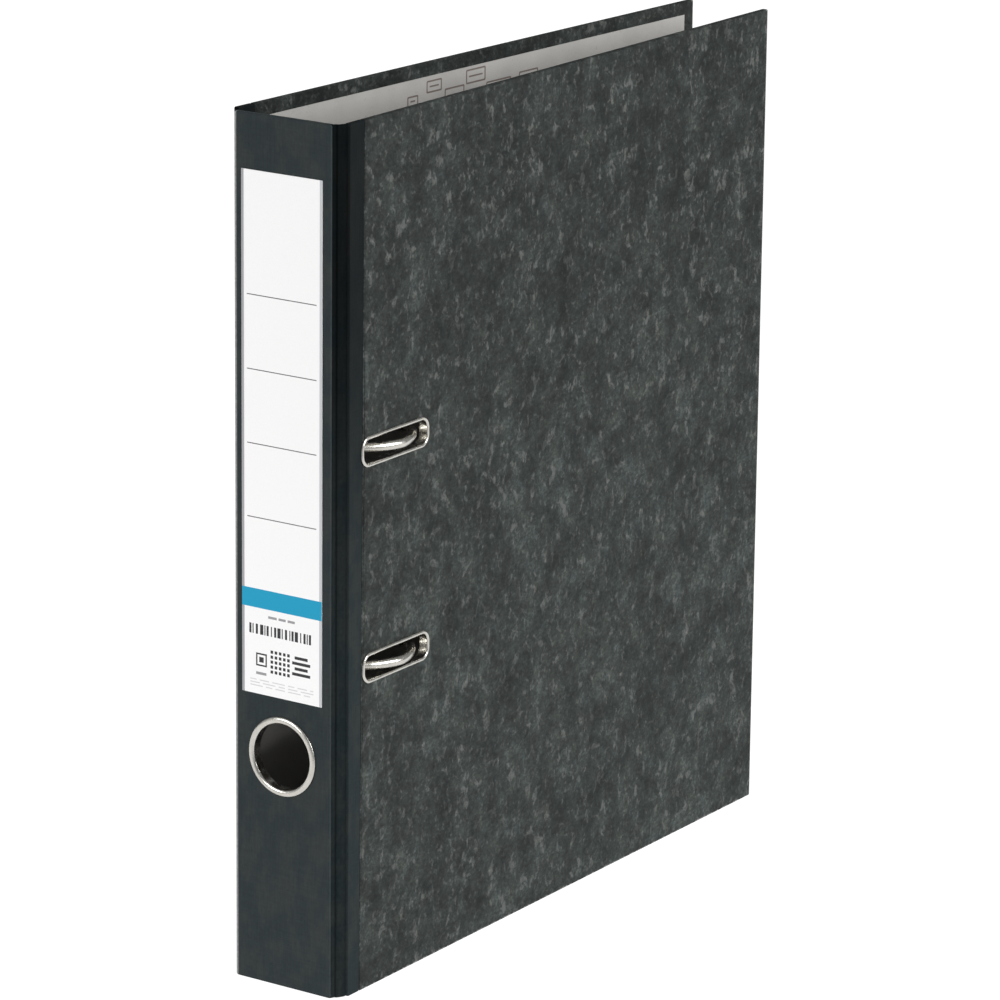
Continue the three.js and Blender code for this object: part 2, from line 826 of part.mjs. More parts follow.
function compressorClip(rise) {
  const seat = barHeight + barFlange + seatGap;
  const body = raised(
    roundedOutline(clipWidth, clipLength, clipCorner, [postReach, rise]),
    [seat, seat + clipHeight],
    alongX,
  );
  const hole = [seat - overrun, seat + clipHeight + overrun];
  return cutBy(body, [bar(postRadius + barHoleGap, hole, alongX, [0, postReach, rise])]);
}

function mechanismGroup() {
  const group = new THREE.Group();
  group.position.set(coverThickness, 0, fileHeight / 2);
  const cheekOuter = leverGap / 2 + cheekThickness;
  group.add(named("base_plate", basePlate(), nickel));
  for (const [place, rise] of Object.entries(postPlaces)) {
    group.add(named("post_" + place, post(rise), nickel));
    group.add(named("compressor_clip_" + place, compressorClip(rise), plasticBlack));
  }
  for (const [name, place] of Object.entries(rivetPlaces)) {
    group.add(named(name, rivet(...place), nickel));
  }
  const earOuter = cheekOuter + seatGap + earThickness + seatGap;
  const leverPin = headedPin(leverPinRadius, earOuter, leverPivotHeight, leverPivotReach);
  const rollerPin = bar(
    rollerPinRadius,
    [-cheekOuter, cheekOuter],
    alongZ,
    [rollerHeight, crankReach, 0],
  );
  group.add(named("leaf_spring", leafSpring(), nickel));
  group.add(named("spring_rivet", springRivet(), nickel));
  group.add(named("lever_pivot_pin", leverPin, nickel));
  group.add(named("arch_wire", archWire(), nickel));
  group.add(named("lever_arm", leverArm(), nickel));
  group.add(named("lever_grip", leverGrip(), plasticBlack));
  group.add(named("roller_pin", rollerPin, nickel));
  group.add(named("roller", roller(), nickel));
  group.add(named("compressor_bar", compressorBar(), nickel));
  return group;
}

function backCover() {
  const group = coverGroup(-1);
  const through = [-overrun, coverThickness + overrun];
  const cutters = Object.values(rivetPlaces).map(([reach, rise]) =>
    bar(rivetRadius + holeGap, through, alongX, [0, reach, fileHeight / 2 + rise]),
  );
  group.add(...coverPieces("back_cover", -1, cutters));
  group.add(mechanismGroup());
  return group;
}

const leverArchFile = new THREE.Group();
leverArchFile.add(spineGroup(), frontCover(), backCover());
leverArchFile.position.y = -fileDepth / 2;

export default leverArchFile;
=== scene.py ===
"""The looks of a lever arch file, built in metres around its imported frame.

The file stands on Z zero, its spine's face looks along -Y and its front cover along +X. Every
piece keeps its object at the origin, so object coordinates are places in that frame, and a
pattern made from them stays with its piece when the file opens.
"""

import json
import math

import bmesh
import bpy
from mathutils import Matrix, Quaternion, Vector
from mathutils.geometry import tessellate_polygon


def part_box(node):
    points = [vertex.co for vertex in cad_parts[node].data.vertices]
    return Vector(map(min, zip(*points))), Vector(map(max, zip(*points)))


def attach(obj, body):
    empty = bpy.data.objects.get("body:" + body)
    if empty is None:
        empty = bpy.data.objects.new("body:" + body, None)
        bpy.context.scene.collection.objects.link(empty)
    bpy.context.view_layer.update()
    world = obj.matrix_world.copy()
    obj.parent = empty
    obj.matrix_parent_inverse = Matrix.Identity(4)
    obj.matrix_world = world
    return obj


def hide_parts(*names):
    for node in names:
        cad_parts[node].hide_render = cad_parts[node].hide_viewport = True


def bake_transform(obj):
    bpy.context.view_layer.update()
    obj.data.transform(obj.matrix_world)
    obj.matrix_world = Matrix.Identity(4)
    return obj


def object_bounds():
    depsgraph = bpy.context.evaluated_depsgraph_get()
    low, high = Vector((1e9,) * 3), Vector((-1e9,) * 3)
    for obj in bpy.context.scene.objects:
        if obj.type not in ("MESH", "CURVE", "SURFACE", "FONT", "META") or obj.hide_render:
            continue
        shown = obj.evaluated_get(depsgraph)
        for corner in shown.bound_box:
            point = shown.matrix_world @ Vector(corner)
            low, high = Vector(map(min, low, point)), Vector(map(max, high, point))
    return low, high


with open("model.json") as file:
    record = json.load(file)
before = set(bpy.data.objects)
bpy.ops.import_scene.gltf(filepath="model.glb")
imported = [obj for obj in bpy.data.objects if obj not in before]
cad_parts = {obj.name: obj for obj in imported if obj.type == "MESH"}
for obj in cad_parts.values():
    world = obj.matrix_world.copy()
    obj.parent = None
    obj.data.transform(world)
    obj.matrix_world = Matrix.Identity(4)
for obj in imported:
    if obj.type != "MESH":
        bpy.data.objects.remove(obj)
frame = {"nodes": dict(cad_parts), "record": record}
cad_low, cad_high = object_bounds()

# The frame's own sizes
spine_low, spine_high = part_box("spine_wrap")
strip_low, strip_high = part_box("front_cover_strip")
cover_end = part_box("front_cover_wrap")[1].y
label_low, label_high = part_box("spine_label")
ring_low, ring_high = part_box("finger_ring")
mounts = {mount["name"]: mount for mount in frame["record"]["mounts"]}
cover_axis = Vector(mounts["front_face"]["axis"])

FILE_HEIGHT = spine_high.z
SPINE_HALF = spine_high.x
SPINE_FACE = spine_low.y
THICKNESS = spine_high.y - spine_low.y
COVER_LEAN = math.atan2(cover_axis.y, cover_axis.x)
COVER_OUTER = strip_high.x
COVER_START = strip_low.y + THICKNESS * math.sin(COVER_LEAN)
COVER_DEPTH = (cover_end - COVER_START) / math.cos(COVER_LEAN)
RING_HEIGHT = (ring_low.z + ring_high.z) / 2
RING_FLANGE = (ring_high.z - ring_low.z) / 2

# Boards and papers
STRIP_WIDTH = 0.0071
STRIP_SLANT = 0.0016
STRIP_SINK = 0.00006
LINING_PROUD = 0.0001
PANEL_ROUND = 0.0006
SPINE_ROUND = 0.0008
PANEL_CORNER = 0.0007
SPINE_CORNER = 0.0009
LINING_PAPER = 0.00025
LINING_CORNER = 0.0004

# Finger ring
RING_BORE = 0.0123
RING_WALL = 0.0005
RING_SEAT = 0.0001
RING_PROUD = 0.0008
RING_END = 0.0032

# Slots of the front cover, and their eyelets
SLOT_WIDTH = 0.0088
SLOT_LENGTH = 0.0392
SLOT_MIDDLE = 0.0283
SLOT_CORNER = 0.0033
HOLE_PITCH = 0.08
EYELET_RIM = 0.0013
EYELET_PROUD = 0.0006
EYELET_WALL = 0.0005
EYELET_END = 0.003
HOLE_GAP = 0.0002
WASHER_RIM = 0.0018
WASHER_PROUD = 0.0006

# Mechanism: reach from the joint end of the cover, and height over its lining
PIVOT_REACH = 0.012
PIVOT_HEIGHT = 0.0045
ARCH_SPAN = 0.0384
ARCH_RISE = 0.0132
ARCH_SPRING = 0.035
ARCH_FULLNESS = 1.5
WIRE_RADIUS = 0.00175
WIRE_BEND = 0.004
CRANK_REACH = 0.030
CRANK_HALF = 0.011
SEAT_GAP = 0.0003
POST_REACH = PIVOT_REACH + ARCH_SPAN
HOLE_RISES = {"upper": HOLE_PITCH / 2, "lower": -HOLE_PITCH / 2}

# Base plate
PLATE_START = 0.005
PLATE_END = 0.057
PLATE_TOP = 0.0015
PLATE_HALF = 0.062
PLATE_CORNER = 0.005
PLATE_RIM = 0.0012
PLATE_RIM_TOP = 0.0033
PLATE_RIM_CORNER = 0.0005
PLATE_EASE = PLATE_RIM / 3
LUG_RADIUS = 0.00335
LUG_MIDDLE = 0.026
LUG_HALF = 0.0025
EAR_RADIUS = 0.0038
EAR_INNER = 0.0071
EAR_OUTER = 0.0085
FOOT_SPREAD = 0.8
FOOT_ROUND = 0.2
FOOT_DEPTH = 0.25
BEAD_REACH = 0.031
BEAD_HALF_WIDTH = 0.0026
BEAD_HEIGHT = 0.0006
BEAD_CORNER = 0.0025
BEAD_RUNS = ((0.0250, 0.0085), (0.0520, 0.0055))

# Posts, rivets and pins
POST_RADIUS = 0.0023
POST_BORE = 0.0015
POST_BORE_DEPTH = 0.006
POST_TOP = 0.0346
POST_FOOT = 0.0038
POST_FOOT_TOP = 0.0026
POST_TAIL = 0.0016
POST_EASE = 0.0004
POST_FOOT_EASE = 0.0003
RIVET_RISE = 0.054
RIVET_RADIUS = 0.0019
RIVET_HEAD = 0.0044
RIVET_HEAD_HEIGHT = 0.0012
RIVET_INNER = 0.0034
RIVET_INNER_HEIGHT = 0.0008
SPRING_RIVET_REACH = 0.0195
SPRING_RIVET_SEAT = 0.00235
SPRING_RIVET_HEAD = 0.0023
SPRING_RIVET_HEIGHT = 0.0006
SPRING_RIVET_RADIUS = 0.0012
LEVER_PIN = 0.0015
LEVER_PIN_HALF = 0.0088
PIN_HEAD = 0.0025
PIN_HEAD_HEIGHT = 0.0008

# Lever, roller and grip
LEVER_PIVOT = (0.039, 0.009)
ROLLER_PLACE = (CRANK_REACH, 0.01055)
LEVER_END = (0.014, 0.0112)
CHEEK_RADIUS = 0.0032
CHEEK_END_RADIUS = 0.0021
CHEEK_INNER = 0.0056
CHEEK_OUTER = 0.0068
WEB_TOP = 0.0133
WEB_BOTTOM = 0.0121
WEB_END = 0.0248
WEB_FRONT = 0.0128
WEB_FRONT_LOW = 0.01015
WEB_CORNER = 0.0006
WEB_FRONT_CORNER = 0.0004
TONGUE_START = 0.0029
TONGUE_HALF = 0.0035
TONGUE_LEVELS = (0.0106, 0.0118)
TONGUE_CORNER = 0.0008
LEVER_EDGE = 0.0003
ROLLER_RADIUS = 0.004
ROLLER_BORE = 0.0016
ROLLER_HALF = 0.0052
ROLLER_EDGE = 0.0008
ROLLER_PIN = 0.0014
ROLLER_PIN_EASE = 0.0002
GRIP_START = 0.0015
GRIP_END = 0.0116
GRIP_HALF = 0.0095
GRIP_CORNER = 0.0034
GRIP_LEVELS = (0.0091, 0.0133)
GRIP_EASE = 0.0014
GRIP_RIBS = 5
GRIP_RIB_PITCH = 0.0014
GRIP_RIB_HALF = 0.0062
GRIP_RIB_CORNER = 0.00033
GRIP_RIB_SINK = 0.0002
GRIP_RIB_PROUD = 0.00025

# Compressor
BAR_HALF = 0.074
BAR_HALF_WIDTH = 0.0045
BAR_LEVELS = (0.0044, 0.006, 0.007)
BAR_WALL = 0.001
BAR_CORNER = 0.003
BAR_RIM_CORNER = 0.00045
BAR_EASE = BAR_WALL / 3
BAR_HOLE = 0.0027
CLIP_HALF = 0.008
CLIP_HALF_WIDTH = 0.004
CLIP_LEVELS = (0.0073, 0.0123)
CLIP_CORNER = 0.0022
CLIP_EASE = 0.0009

# How finely round shapes are cut
ROUND_SIDES = 64
EASE_STEPS = 4
DOME_STEPS = 7
DOME_END = math.radians(82)
FINE_EASE = 0.0001
SHARP_ANGLE = math.radians(40)
BEVEL_ANGLE = math.radians(30)
WELD_REACH = 0.000002
WIRE_SIDES = 24
ARCH_STEPS = 48
BEND_STEPS = 8


# Outlines: each gives its points for the margin that it is grown by.

def hull(circles, sides=ROUND_SIDES):
    """The line pulled round circles of x, y and radius."""
    turns = [2 * math.pi * side / sides for side in range(sides)]

    def outline(margin):
        points = []
        for turn in turns:
            way = Vector((math.cos(turn), math.sin(turn)))
            x, y, radius = max(circles, key=lambda c: c[0] * way.x + c[1] * way.y + c[2])
            points.append(Vector((x, y)) + (radius + margin) * way)
        return points

    return outline


def circle(x, y, sides=ROUND_SIDES):
    """A circle whose margin is its radius."""
    return hull([(x, y, 0)], sides)


def rounded_rectangle(low, high, corner):
    xs = (low[0] + corner, high[0] - corner)
    ys = (low[1] + corner, high[1] - corner)
    return hull([(x, y, corner) for x in xs for y in ys])


def middled_rectangle(x, y, half_x, half_y, corner):
    return rounded_rectangle((x - half_x, y - half_y), (x + half_x, y + half_y), corner)


def slot(place, margin=0.0):
    """A slot of the front cover, its place given by reach along it and height up it."""
    half_run, half_width = SLOT_LENGTH / 2 + margin, SLOT_WIDTH / 2 + margin
    return middled_rectangle(*place, half_run, half_width, SLOT_CORNER + margin)


# Profiles: pairs of margin and height.

def bend(back, here, ahead, ease, steps):
    """Points on the arc that turns a corner between its two neighbours."""
    start = here + (back - here).normalized() * min(ease, (back - here).length / 2)
    end = here + (ahead - here).normalized() * min(ease, (ahead - here).length / 2)
    shares = [step / steps for step in range(steps + 1)]
    return [start.lerp(here, share).lerp(here.lerp(end, share), share) for share in shares]


def eased(corners, closed=False):
    """A polyline of x, y and rounding, with each corner turned into an arc."""
    points = []
    places = [Vector(corner[:2]) for corner in corners]
    for number, here in enumerate(places):
        ease = corners[number][2]
        if ease == 0 or (not closed and number in (0, len(places) - 1)):
            points.append(here)
        else:
            ahead = places[(number + 1) % len(places)]
            points += bend(places[number - 1], here, ahead, ease, EASE_STEPS)
    return [tuple(point) for point in points]


def slab_profile(low, high, ease):
    """The side of a slab from its lower to its upper face, with both edges eased."""
    return eased(((-ease, low, 0), (0, low, ease), (0, high, ease), (-ease, high, 0)))


def dome(radius, base, rise):
    """The side of a domed head, from its rim to near its top."""
    return [
        (radius * math.cos(turn), base + rise * math.sin(turn))
        for turn in (DOME_END * step / DOME_STEPS for step in range(DOME_STEPS + 1))
    ]


def rolled_lip(inner, outer, base, proud):
    """A lip rolled over from one margin to another, round as a bead."""
    middle, half = (inner + outer) / 2, (outer - inner) / 2
    count = 2 * DOME_STEPS
    return [
        (middle - half * math.cos(turn), base + proud * math.sin(turn))
        for turn in (math.pi * step / count for step in range(count + 1))
    ]


def eyelet_profile(bore, rim, wall, proud, end):
    """An eyelet's section: a lip rolled over on the face, and a barrel behind it."""
    lip = rolled_lip(bore, rim, RING_SEAT, proud)
    return [(bore, -end), *lip, (bore + wall, RING_SEAT), (bore + wall, -end)]


# Meshes: each shape is its vertices, its faces and whether each face is a cap.

def band(lower, upper, count):
    """The faces between two rings of vertices that start at those numbers."""
    return [
        (lower + side, lower + after, upper + after, upper + side)
        for side, after in ((side, (side + 1) % count) for side in range(count))
    ]


def lofted(outlines, profile, closed=False):
    """Outlines drawn along a profile: the first is the outside, and the others are holes.

    A closed profile runs back into itself, as a ring's does, and has no caps.
    """
    vertices, faces, loops = [], [], []
    levels = len(profile)
    for number, outline in enumerate(outlines):
        rings = [outline(-margin if number else margin) for margin, _ in profile]
        start, count = len(vertices), len(rings[0])
        loops.append((start, count))
        for ring, (_, height) in zip(rings, profile):
            vertices += [(x, y, height) for x, y in ring]
        for level in range(levels if closed else levels - 1):
            after = (level + 1) % levels
            faces += band(start + level * count, start + after * count, count)
    sides = len(faces)
    for level in () if closed else (0, levels - 1):
        cap = [range(start + level * count, start + (level + 1) * count) for start, count in loops]
        index = [number for loop in cap for number in loop]
        corners = [[Vector(vertices[number]) for number in loop] for loop in cap]
        for triangle in tessellate_polygon(corners):
            faces.append(tuple(index[corner] for corner in triangle))
    return vertices, faces, [False] * sides + [True] * (len(faces) - sides)


def tube(path):
    """A round bar through points that each have a radius."""
    points, radii = zip(*path)
    runs = [(after - before).normalized() for before, after in zip(points, points[1:])]
    pairs = zip([runs[0], *runs], [*runs, runs[-1]])
    tangents = [(before + after).normalized() for before, after in pairs]
    turns = [2 * math.pi * step / WIRE_SIDES for step in range(WIRE_SIDES)]
    side = tangents[0].orthogonal().normalized()
    vertices = []
    for number, (point, radius, tangent) in enumerate(zip(points, radii, tangents)):
        if number:
            side = tangents[number - 1].rotation_difference(tangent) @ side
        other = tangent.cross(side)
        vertices += [
            point + radius * (side * math.cos(turn) + other * math.sin(turn)) for turn in turns
        ]
    faces = []
    for level in range(len(points) - 1):
        faces += band(level * WIRE_SIDES, (level + 1) * WIRE_SIDES, WIRE_SIDES)
    faces.append(tuple(range(WIRE_SIDES)))
    faces.append(tuple(range(len(vertices) - WIRE_SIDES, len(vertices))))
    return vertices, faces, [False] * (len(faces) - 2) + [True, True]


def placed(shape, matrix):
    """A shape with its vertices moved by a matrix."""
    return [matrix @ Vector(vertex) for vertex in shape[0]], shape[1], shape[2]


def joined(shapes):
    """Several shapes as one."""
    vertices, faces, caps = [], [], []
    for shape in shapes:
        start = len(vertices)
        vertices += shape[0]
        faces += [tuple(start + corner for corner in face) for face in shape[1]]
        caps += shape[2]
    return vertices, faces, caps


def even_normals(piece):
    """Keeps broad faces flat beside their eased edges."""
    modifier = piece.modifiers.new("even_normals", "WEIGHTED_NORMAL")
    modifier.keep_sharp = True
    modifier.weight = 100


def added(name, data):
    """A new object in the scene."""
    made = bpy.data.objects.new(name, data)
    bpy.context.scene.collection.objects.link(made)
    return made


def piece_of(name, vertices, faces, materials, picks):
    """An object whose faces look outwards, each with the material picked for it."""
    mesh = bpy.data.meshes.new(name)
    mesh.from_pydata(vertices, [], faces)
    for material in materials:
        mesh.materials.append(material)
    mesh.polygons.foreach_set("material_index", picks)
    work = bmesh.new()
    work.from_mesh(mesh)
    bmesh.ops.recalc_face_normals(work, faces=work.faces)
    work.to_mesh(mesh)
    work.free()
    return added(name, mesh)


def solid(name, shape, matrix, materials, body=None, replaces=()):
    """A piece from a shape. A second material goes on all but its caps."""
    vertices, faces, caps = placed(shape, matrix)
    picks = [0 if cap or len(materials) == 1 else 1 for cap in caps]
    piece = piece_of(name, vertices, faces, materials, picks)
    piece.data.shade_smooth()
    piece.data.set_sharp_from_angle(angle=SHARP_ANGLE)
    even_normals(piece)
    if body:
        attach(piece, body)
    if replaces:
        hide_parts(*replaces)
    return piece


# Places

def cover_place(side):
    """A cover's own frame: reach from its joint end, height, and distance out of its face."""
    lean_sine, lean_cosine = math.sin(COVER_LEAN), math.cos(COVER_LEAN)
    along = (-side * lean_sine, lean_cosine, 0)
    out = (side * lean_cosine, lean_sine, 0)
    start = (side * COVER_OUTER, COVER_START, 0)
    rows = [list(row) for row in zip(along, (0, 0, 1), out, start)]
    return Matrix([*rows, [0, 0, 0, 1]])


# The mechanism's frame: reach, rise from the cover's middle, and height over its lining.
INWARDS = Matrix.Diagonal((1, 1, -1, 1))
MECHANISM = cover_place(-1) @ Matrix.Translation((0, FILE_HEIGHT / 2, -THICKNESS)) @ INWARDS

# The same for what is drawn by reach and height, and turned or raised along the spine.
ACROSS = MECHANISM @ Matrix(((1, 0, 0, 0), (0, 0, 1, 0), (0, 1, 0, 0), (0, 0, 0, 1)))

# The spine's frame: across, up and out of its face.
SPINE = Matrix(((1, 0, 0, 0), (0, 0, -1, SPINE_FACE), (0, 1, 0, 0), (0, 0, 0, 1)))


# Materials

def join(tree, value, socket):
    """Links a value that is made by nodes, or sets it. A colour is given by three numbers."""
    if isinstance(value, bpy.types.NodeSocket):
        tree.links.new(value, socket)
    else:
        socket.default_value = (*value, 1.0) if socket.type == "RGBA" else value


def output_of(tree, kind, inputs=(), output=0, **settings):
    """An output of a new node, whose inputs and output are given by name or number."""
    node = tree.nodes.new("ShaderNode" + kind)
    for name, value in settings.items():
        setattr(node, name, value)
    for socket, value in dict(inputs).items():
        join(tree, value, node.inputs[socket])
    return node.outputs[output]


class Finish:
    """One material: a shader with fixed values, and nodes that vary its colour and relief."""

    def __init__(self, name, **values):
        self.material = bpy.data.materials.new(name)
        self.material.use_nodes = True
        self.tree = self.material.node_tree
        self.shader = self.tree.nodes["Principled BSDF"]
        for socket_name, value in values.items():
            self.join(value, socket_name.replace("_", " "))
        self.place = self.node("TexCoord", output="Object")

    def join(self, value, socket_name):
        """Joins a value to the shader."""
        join(self.tree, value, self.shader.inputs[socket_name])

    def node(self, kind, inputs=(), output=0, **settings):
        return output_of(self.tree, kind, inputs, output, **settings)

    def math(self, operation, *values):
        return self.node("Math", enumerate(values), operation=operation)

    def product(self, *values):
        total = values[0]
        for value in values[1:]:
            total = self.math("MULTIPLY", total, value)
        return total

    def axis(self, name):
        """One of the coordinates of the place, in metres."""
        return self.node("SeparateXYZ", {0: self.place}, name)

    def noise(self, grain, seed, detail=2.0, roughness=0.5, distortion=0.0):
        """Noise from 0 to 1 with grains of that length along X, Y and Z."""
        scaling = {0: self.place, 1: [1 / length for length in grain], 2: (seed, seed / 3, -seed)}
        scaled = self.node("VectorMath", scaling, operation="MULTIPLY_ADD")
        return self.node("TexNoise", {
            "Vector": scaled, "Scale": 1.0, "Detail": detail, "Roughness": roughness,
            "Distortion": distortion,
        })

    def ramp(self, value, low, high, to_low=0.0, to_high=1.0):
        """A value between two limits, spread smoothly between two others."""
        return self.node("MapRange", {
            "Value": value, "From Min": low, "From Max": high, "To Min": to_low, "To Max": to_high,
        }, interpolation_type="SMOOTHSTEP")

    def mix(self, factor, first, second):
        """A colour between two others: the node's colours are inputs 6 and 7 and output 2."""
        return self.node("Mix", {0: factor, 6: first, 7: second}, 2, data_type="RGBA")

    def brighter(self, color, factor):
        """A colour times a number."""
        return self.node("VectorMath", {0: color, "Scale": factor}, operation="SCALE")

    def paint(self, color=None, roughness=None, relief=None, depth=0.0):
        """Joins what was made to the shader."""
        if color is not None:
            self.join(color, "Base Color")
        if roughness is not None:
            self.join(roughness, "Roughness")
        if relief is not None:
            self.join(self.node("Bump", {"Distance": depth, "Height": relief}), "Normal")
        return self.material


# Painted shade: the papers are darker towards the head, those of the strip and the joint most.
HEAD_SHADE_LOW, HEAD_SHADE_HIGH = 0.125, 0.265
CLOUD_FOOT_LIGHT, CLOUD_HEAD_SHADE = 1.04, 0.80
CLOUD_CONTRAST = 160.0

# Where edges are rubbed pale: in from the fore edge and up from the foot. Where the spine's left
# fold gets a painted highlight: in from that fold
FORE_RUB = (0.0020, 0.0006)
FOOT_RUB = (0.0004, 0.0016)
FOLD_HIGHLIGHT = (0.0005, 0.0014)


def cloud_paper(name, wear_and_highlight=0.0):
    """Dark marbled paper: grains and mottles of every size, and pale flecks that gather."""
    finish = Finish(name, Specular_IOR_Level=0.12)
    drift = finish.noise((0.034, 0.034, 0.040), 3.0)
    cast = finish.noise((0.006, 0.006, 0.008), 11.0, detail=2.0)
    cloud = finish.noise((0.015, 0.015, 0.015), 23.0, detail=6.0, roughness=0.88)
    fleck = finish.noise((0.0042, 0.0042, 0.0054), 51.0, detail=3.0, roughness=0.6, distortion=0.4)
    speck = finish.noise((0.0020, 0.0020, 0.0022), 59.0, detail=1.0)
    grain = finish.noise((0.0017, 0.0017, 0.0011), 67.0, detail=1.0)
    cool, warm = (0.0210, 0.0262, 0.0252), (0.0225, 0.0262, 0.0240)
    tint = finish.mix(finish.ramp(cast, 0.38, 0.62), cool, warm)
    shade = finish.product(
        finish.ramp(drift, 0.3, 0.7, 0.88, 1.12),
        # painted shade: darker towards the head, a little lighter at the foot
        finish.ramp(finish.axis("Z"), HEAD_SHADE_LOW, HEAD_SHADE_HIGH, CLOUD_FOOT_LIGHT, CLOUD_HEAD_SHADE),
        finish.math("POWER", CLOUD_CONTRAST, finish.math("SUBTRACT", cloud, 0.5)),
        finish.ramp(grain, 0.2, 0.8, 0.64, 1.36),
    )
    gather = finish.ramp(cloud, 0.44, 0.56, 0.35, 1.0)
    pale = finish.math(
        "ADD",
        finish.product(finish.ramp(fleck, 0.560, 0.670), gather, 0.68),
        finish.product(finish.ramp(speck, 0.60, 0.74), gather, 0.42),
    )
    color = finish.mix(pale, finish.brighter(tint, shade), (0.100, 0.104, 0.0995))
    if wear_and_highlight:
        away = finish.ramp(finish.axis("Y"), *[cad_high.y - inset for inset in FORE_RUB])
        foot = finish.ramp(finish.axis("Z"), *FOOT_RUB, 1.0, 0.0)
        spots = finish.ramp(speck, 0.44, 0.62)
        rubbed = finish.math("MAXIMUM", away, finish.product(foot, spots))
        color = finish.mix(finish.product(rubbed, wear_and_highlight), color, (0.28, 0.28, 0.27))
    rough = finish.ramp(grain, 0.3, 0.7, 0.60, 0.74)
    return finish.paint(color, rough, finish.math("ADD", grain, cloud), 0.00008)


def spine_paper(name, tone=1.0, gloss=0.12, head_shade=1.0, wear_and_highlight=0.0):
    """Slate paper embossed with fine threads that cross, darkened by a factor at its head as
    painted shade.

    Its left fold is painted pale as a highlight.
    """
    finish = Finish(name, Specular_IOR_Level=gloss)
    upright = finish.noise((0.0006, 0.0006, 0.012), 5.0)
    across = finish.noise((0.012, 0.012, 0.0006), 13.0)
    blot = finish.noise((0.007, 0.007, 0.011), 29.0, detail=3.0, roughness=0.6)
    speck = finish.noise((0.0011, 0.0011, 0.0015), 41.0)
    cool = [tone * part for part in (0.0215, 0.0300, 0.0330)]
    warm = [tone * part for part in (0.0255, 0.0310, 0.0310)]
    base = finish.mix(finish.ramp(blot, 0.38, 0.62), cool, warm)
    shade = finish.product(
        finish.ramp(upright, 0.25, 0.75, 0.93, 1.07),
        finish.ramp(across, 0.25, 0.75, 0.95, 1.05),
        finish.ramp(speck, 0.2, 0.8, 0.88, 1.12),
        finish.ramp(blot, 0.3, 0.7, 0.93, 1.07),
    )
    if head_shade < 1:
        # painted shade towards the head
        painted_head_shade = finish.ramp(finish.axis("Z"), HEAD_SHADE_LOW, HEAD_SHADE_HIGH, 1.0, head_shade)
        shade = finish.product(shade, painted_head_shade)
    color = finish.brighter(base, shade)
    # painted highlight: the left fold is painted pale
    if wear_and_highlight:
        limits = [-SPINE_HALF + inset for inset in FOLD_HIGHLIGHT]
        away = finish.ramp(finish.axis("X"), *limits, 1.0, 0.0)
        patch = finish.ramp(speck, 0.2, 0.8, 0.8, 1.2)
        color = finish.mix(finish.product(away, patch, wear_and_highlight), color, (0.33, 0.33, 0.33))
    rough = finish.ramp(speck, 0.3, 0.7, 0.58, 0.70)
    return finish.paint(color, rough, finish.math("ADD", upright, across), 0.00006)


def lining_paper(name):
    """Warm grey paper with a few fibres."""
    finish = Finish(name, Specular_IOR_Level=0.2)
    cloud = finish.noise((0.016, 0.016, 0.016), 7.0, detail=3.0)
    fibre = finish.noise((0.0004, 0.0022, 0.0012), 19.0, detail=3.0, distortion=0.8)
    tooth = finish.noise((0.0003, 0.0003, 0.0003), 31.0)
    base = finish.mix(finish.ramp(cloud, 0.3, 0.7), (0.313, 0.307, 0.294), (0.346, 0.337, 0.322))
    shade = finish.product(
        finish.ramp(tooth, 0.2, 0.8, 0.95, 1.05), finish.ramp(fibre, 0.62, 0.78, 1.0, 0.84),
    )
    return finish.paint(finish.brighter(base, shade), 0.85, tooth, 0.00003)


def label_paper(name, *color):
    """Smooth printed paper, with a very faint tooth."""
    finish = Finish(name, Specular_IOR_Level=0.25, Roughness=0.5)
    tooth = finish.noise((0.0004, 0.0004, 0.0004), 43.0)
    shade = finish.ramp(tooth, 0.2, 0.8, 0.985, 1.015)
    return finish.paint(finish.brighter(color, shade), None, tooth, 0.000012)


def nickel(name, color=(0.54, 0.525, 0.485), rough=0.24):
    """Plated steel: rolled in one direction, a little rubbed."""
    finish = Finish(name, Metallic=1.0)
    rolled = finish.noise((0.0003, 0.0045, 0.0003), 17.0, detail=3.0)
    rubbed = finish.noise((0.0035, 0.0035, 0.0035), 61.0, detail=4.0, roughness=0.6)
    scratch = finish.noise((0.0002, 0.0002, 0.006), 71.0, detail=1.0, distortion=0.3)
    shade = finish.ramp(rubbed, 0.3, 0.7, 0.90, 1.04)
    roughness = finish.math(
        "ADD",
        finish.ramp(rubbed, 0.3, 0.7, rough - 0.05, rough + 0.07),
        finish.ramp(scratch, 0.66, 0.76, 0.0, 0.12),
    )
    return finish.paint(finish.brighter(color, shade), roughness, rolled, 0.000006)


def grip_plastic(name):
    """Black moulded plastic with a fine spark grain."""
    finish = Finish(name, Specular_IOR_Level=0.5)
    spark = finish.noise((0.0004, 0.0004, 0.0004), 47.0, detail=3.0)
    haze = finish.noise((0.006, 0.006, 0.006), 53.0)
    shade = finish.ramp(haze, 0.3, 0.7, 0.85, 1.25)
    color = finish.brighter((0.014, 0.014, 0.015), shade)
    return finish.paint(color, finish.ramp(haze, 0.3, 0.7, 0.36, 0.50), spark, 0.00004)


# The cloud papers carry painted shade towards their heads.
CLOUD = cloud_paper("cloud_paper")
CLOUD_EDGE = cloud_paper("cloud_paper_edge", wear_and_highlight=0.5)
# The spine's left fold gets a painted highlight.
SLATE = spine_paper("spine_paper", wear_and_highlight=0.9)
# The strip's paper carries painted shade towards its head.
STRIP = spine_paper("strip_paper", tone=0.78, gloss=0.04, head_shade=0.36)
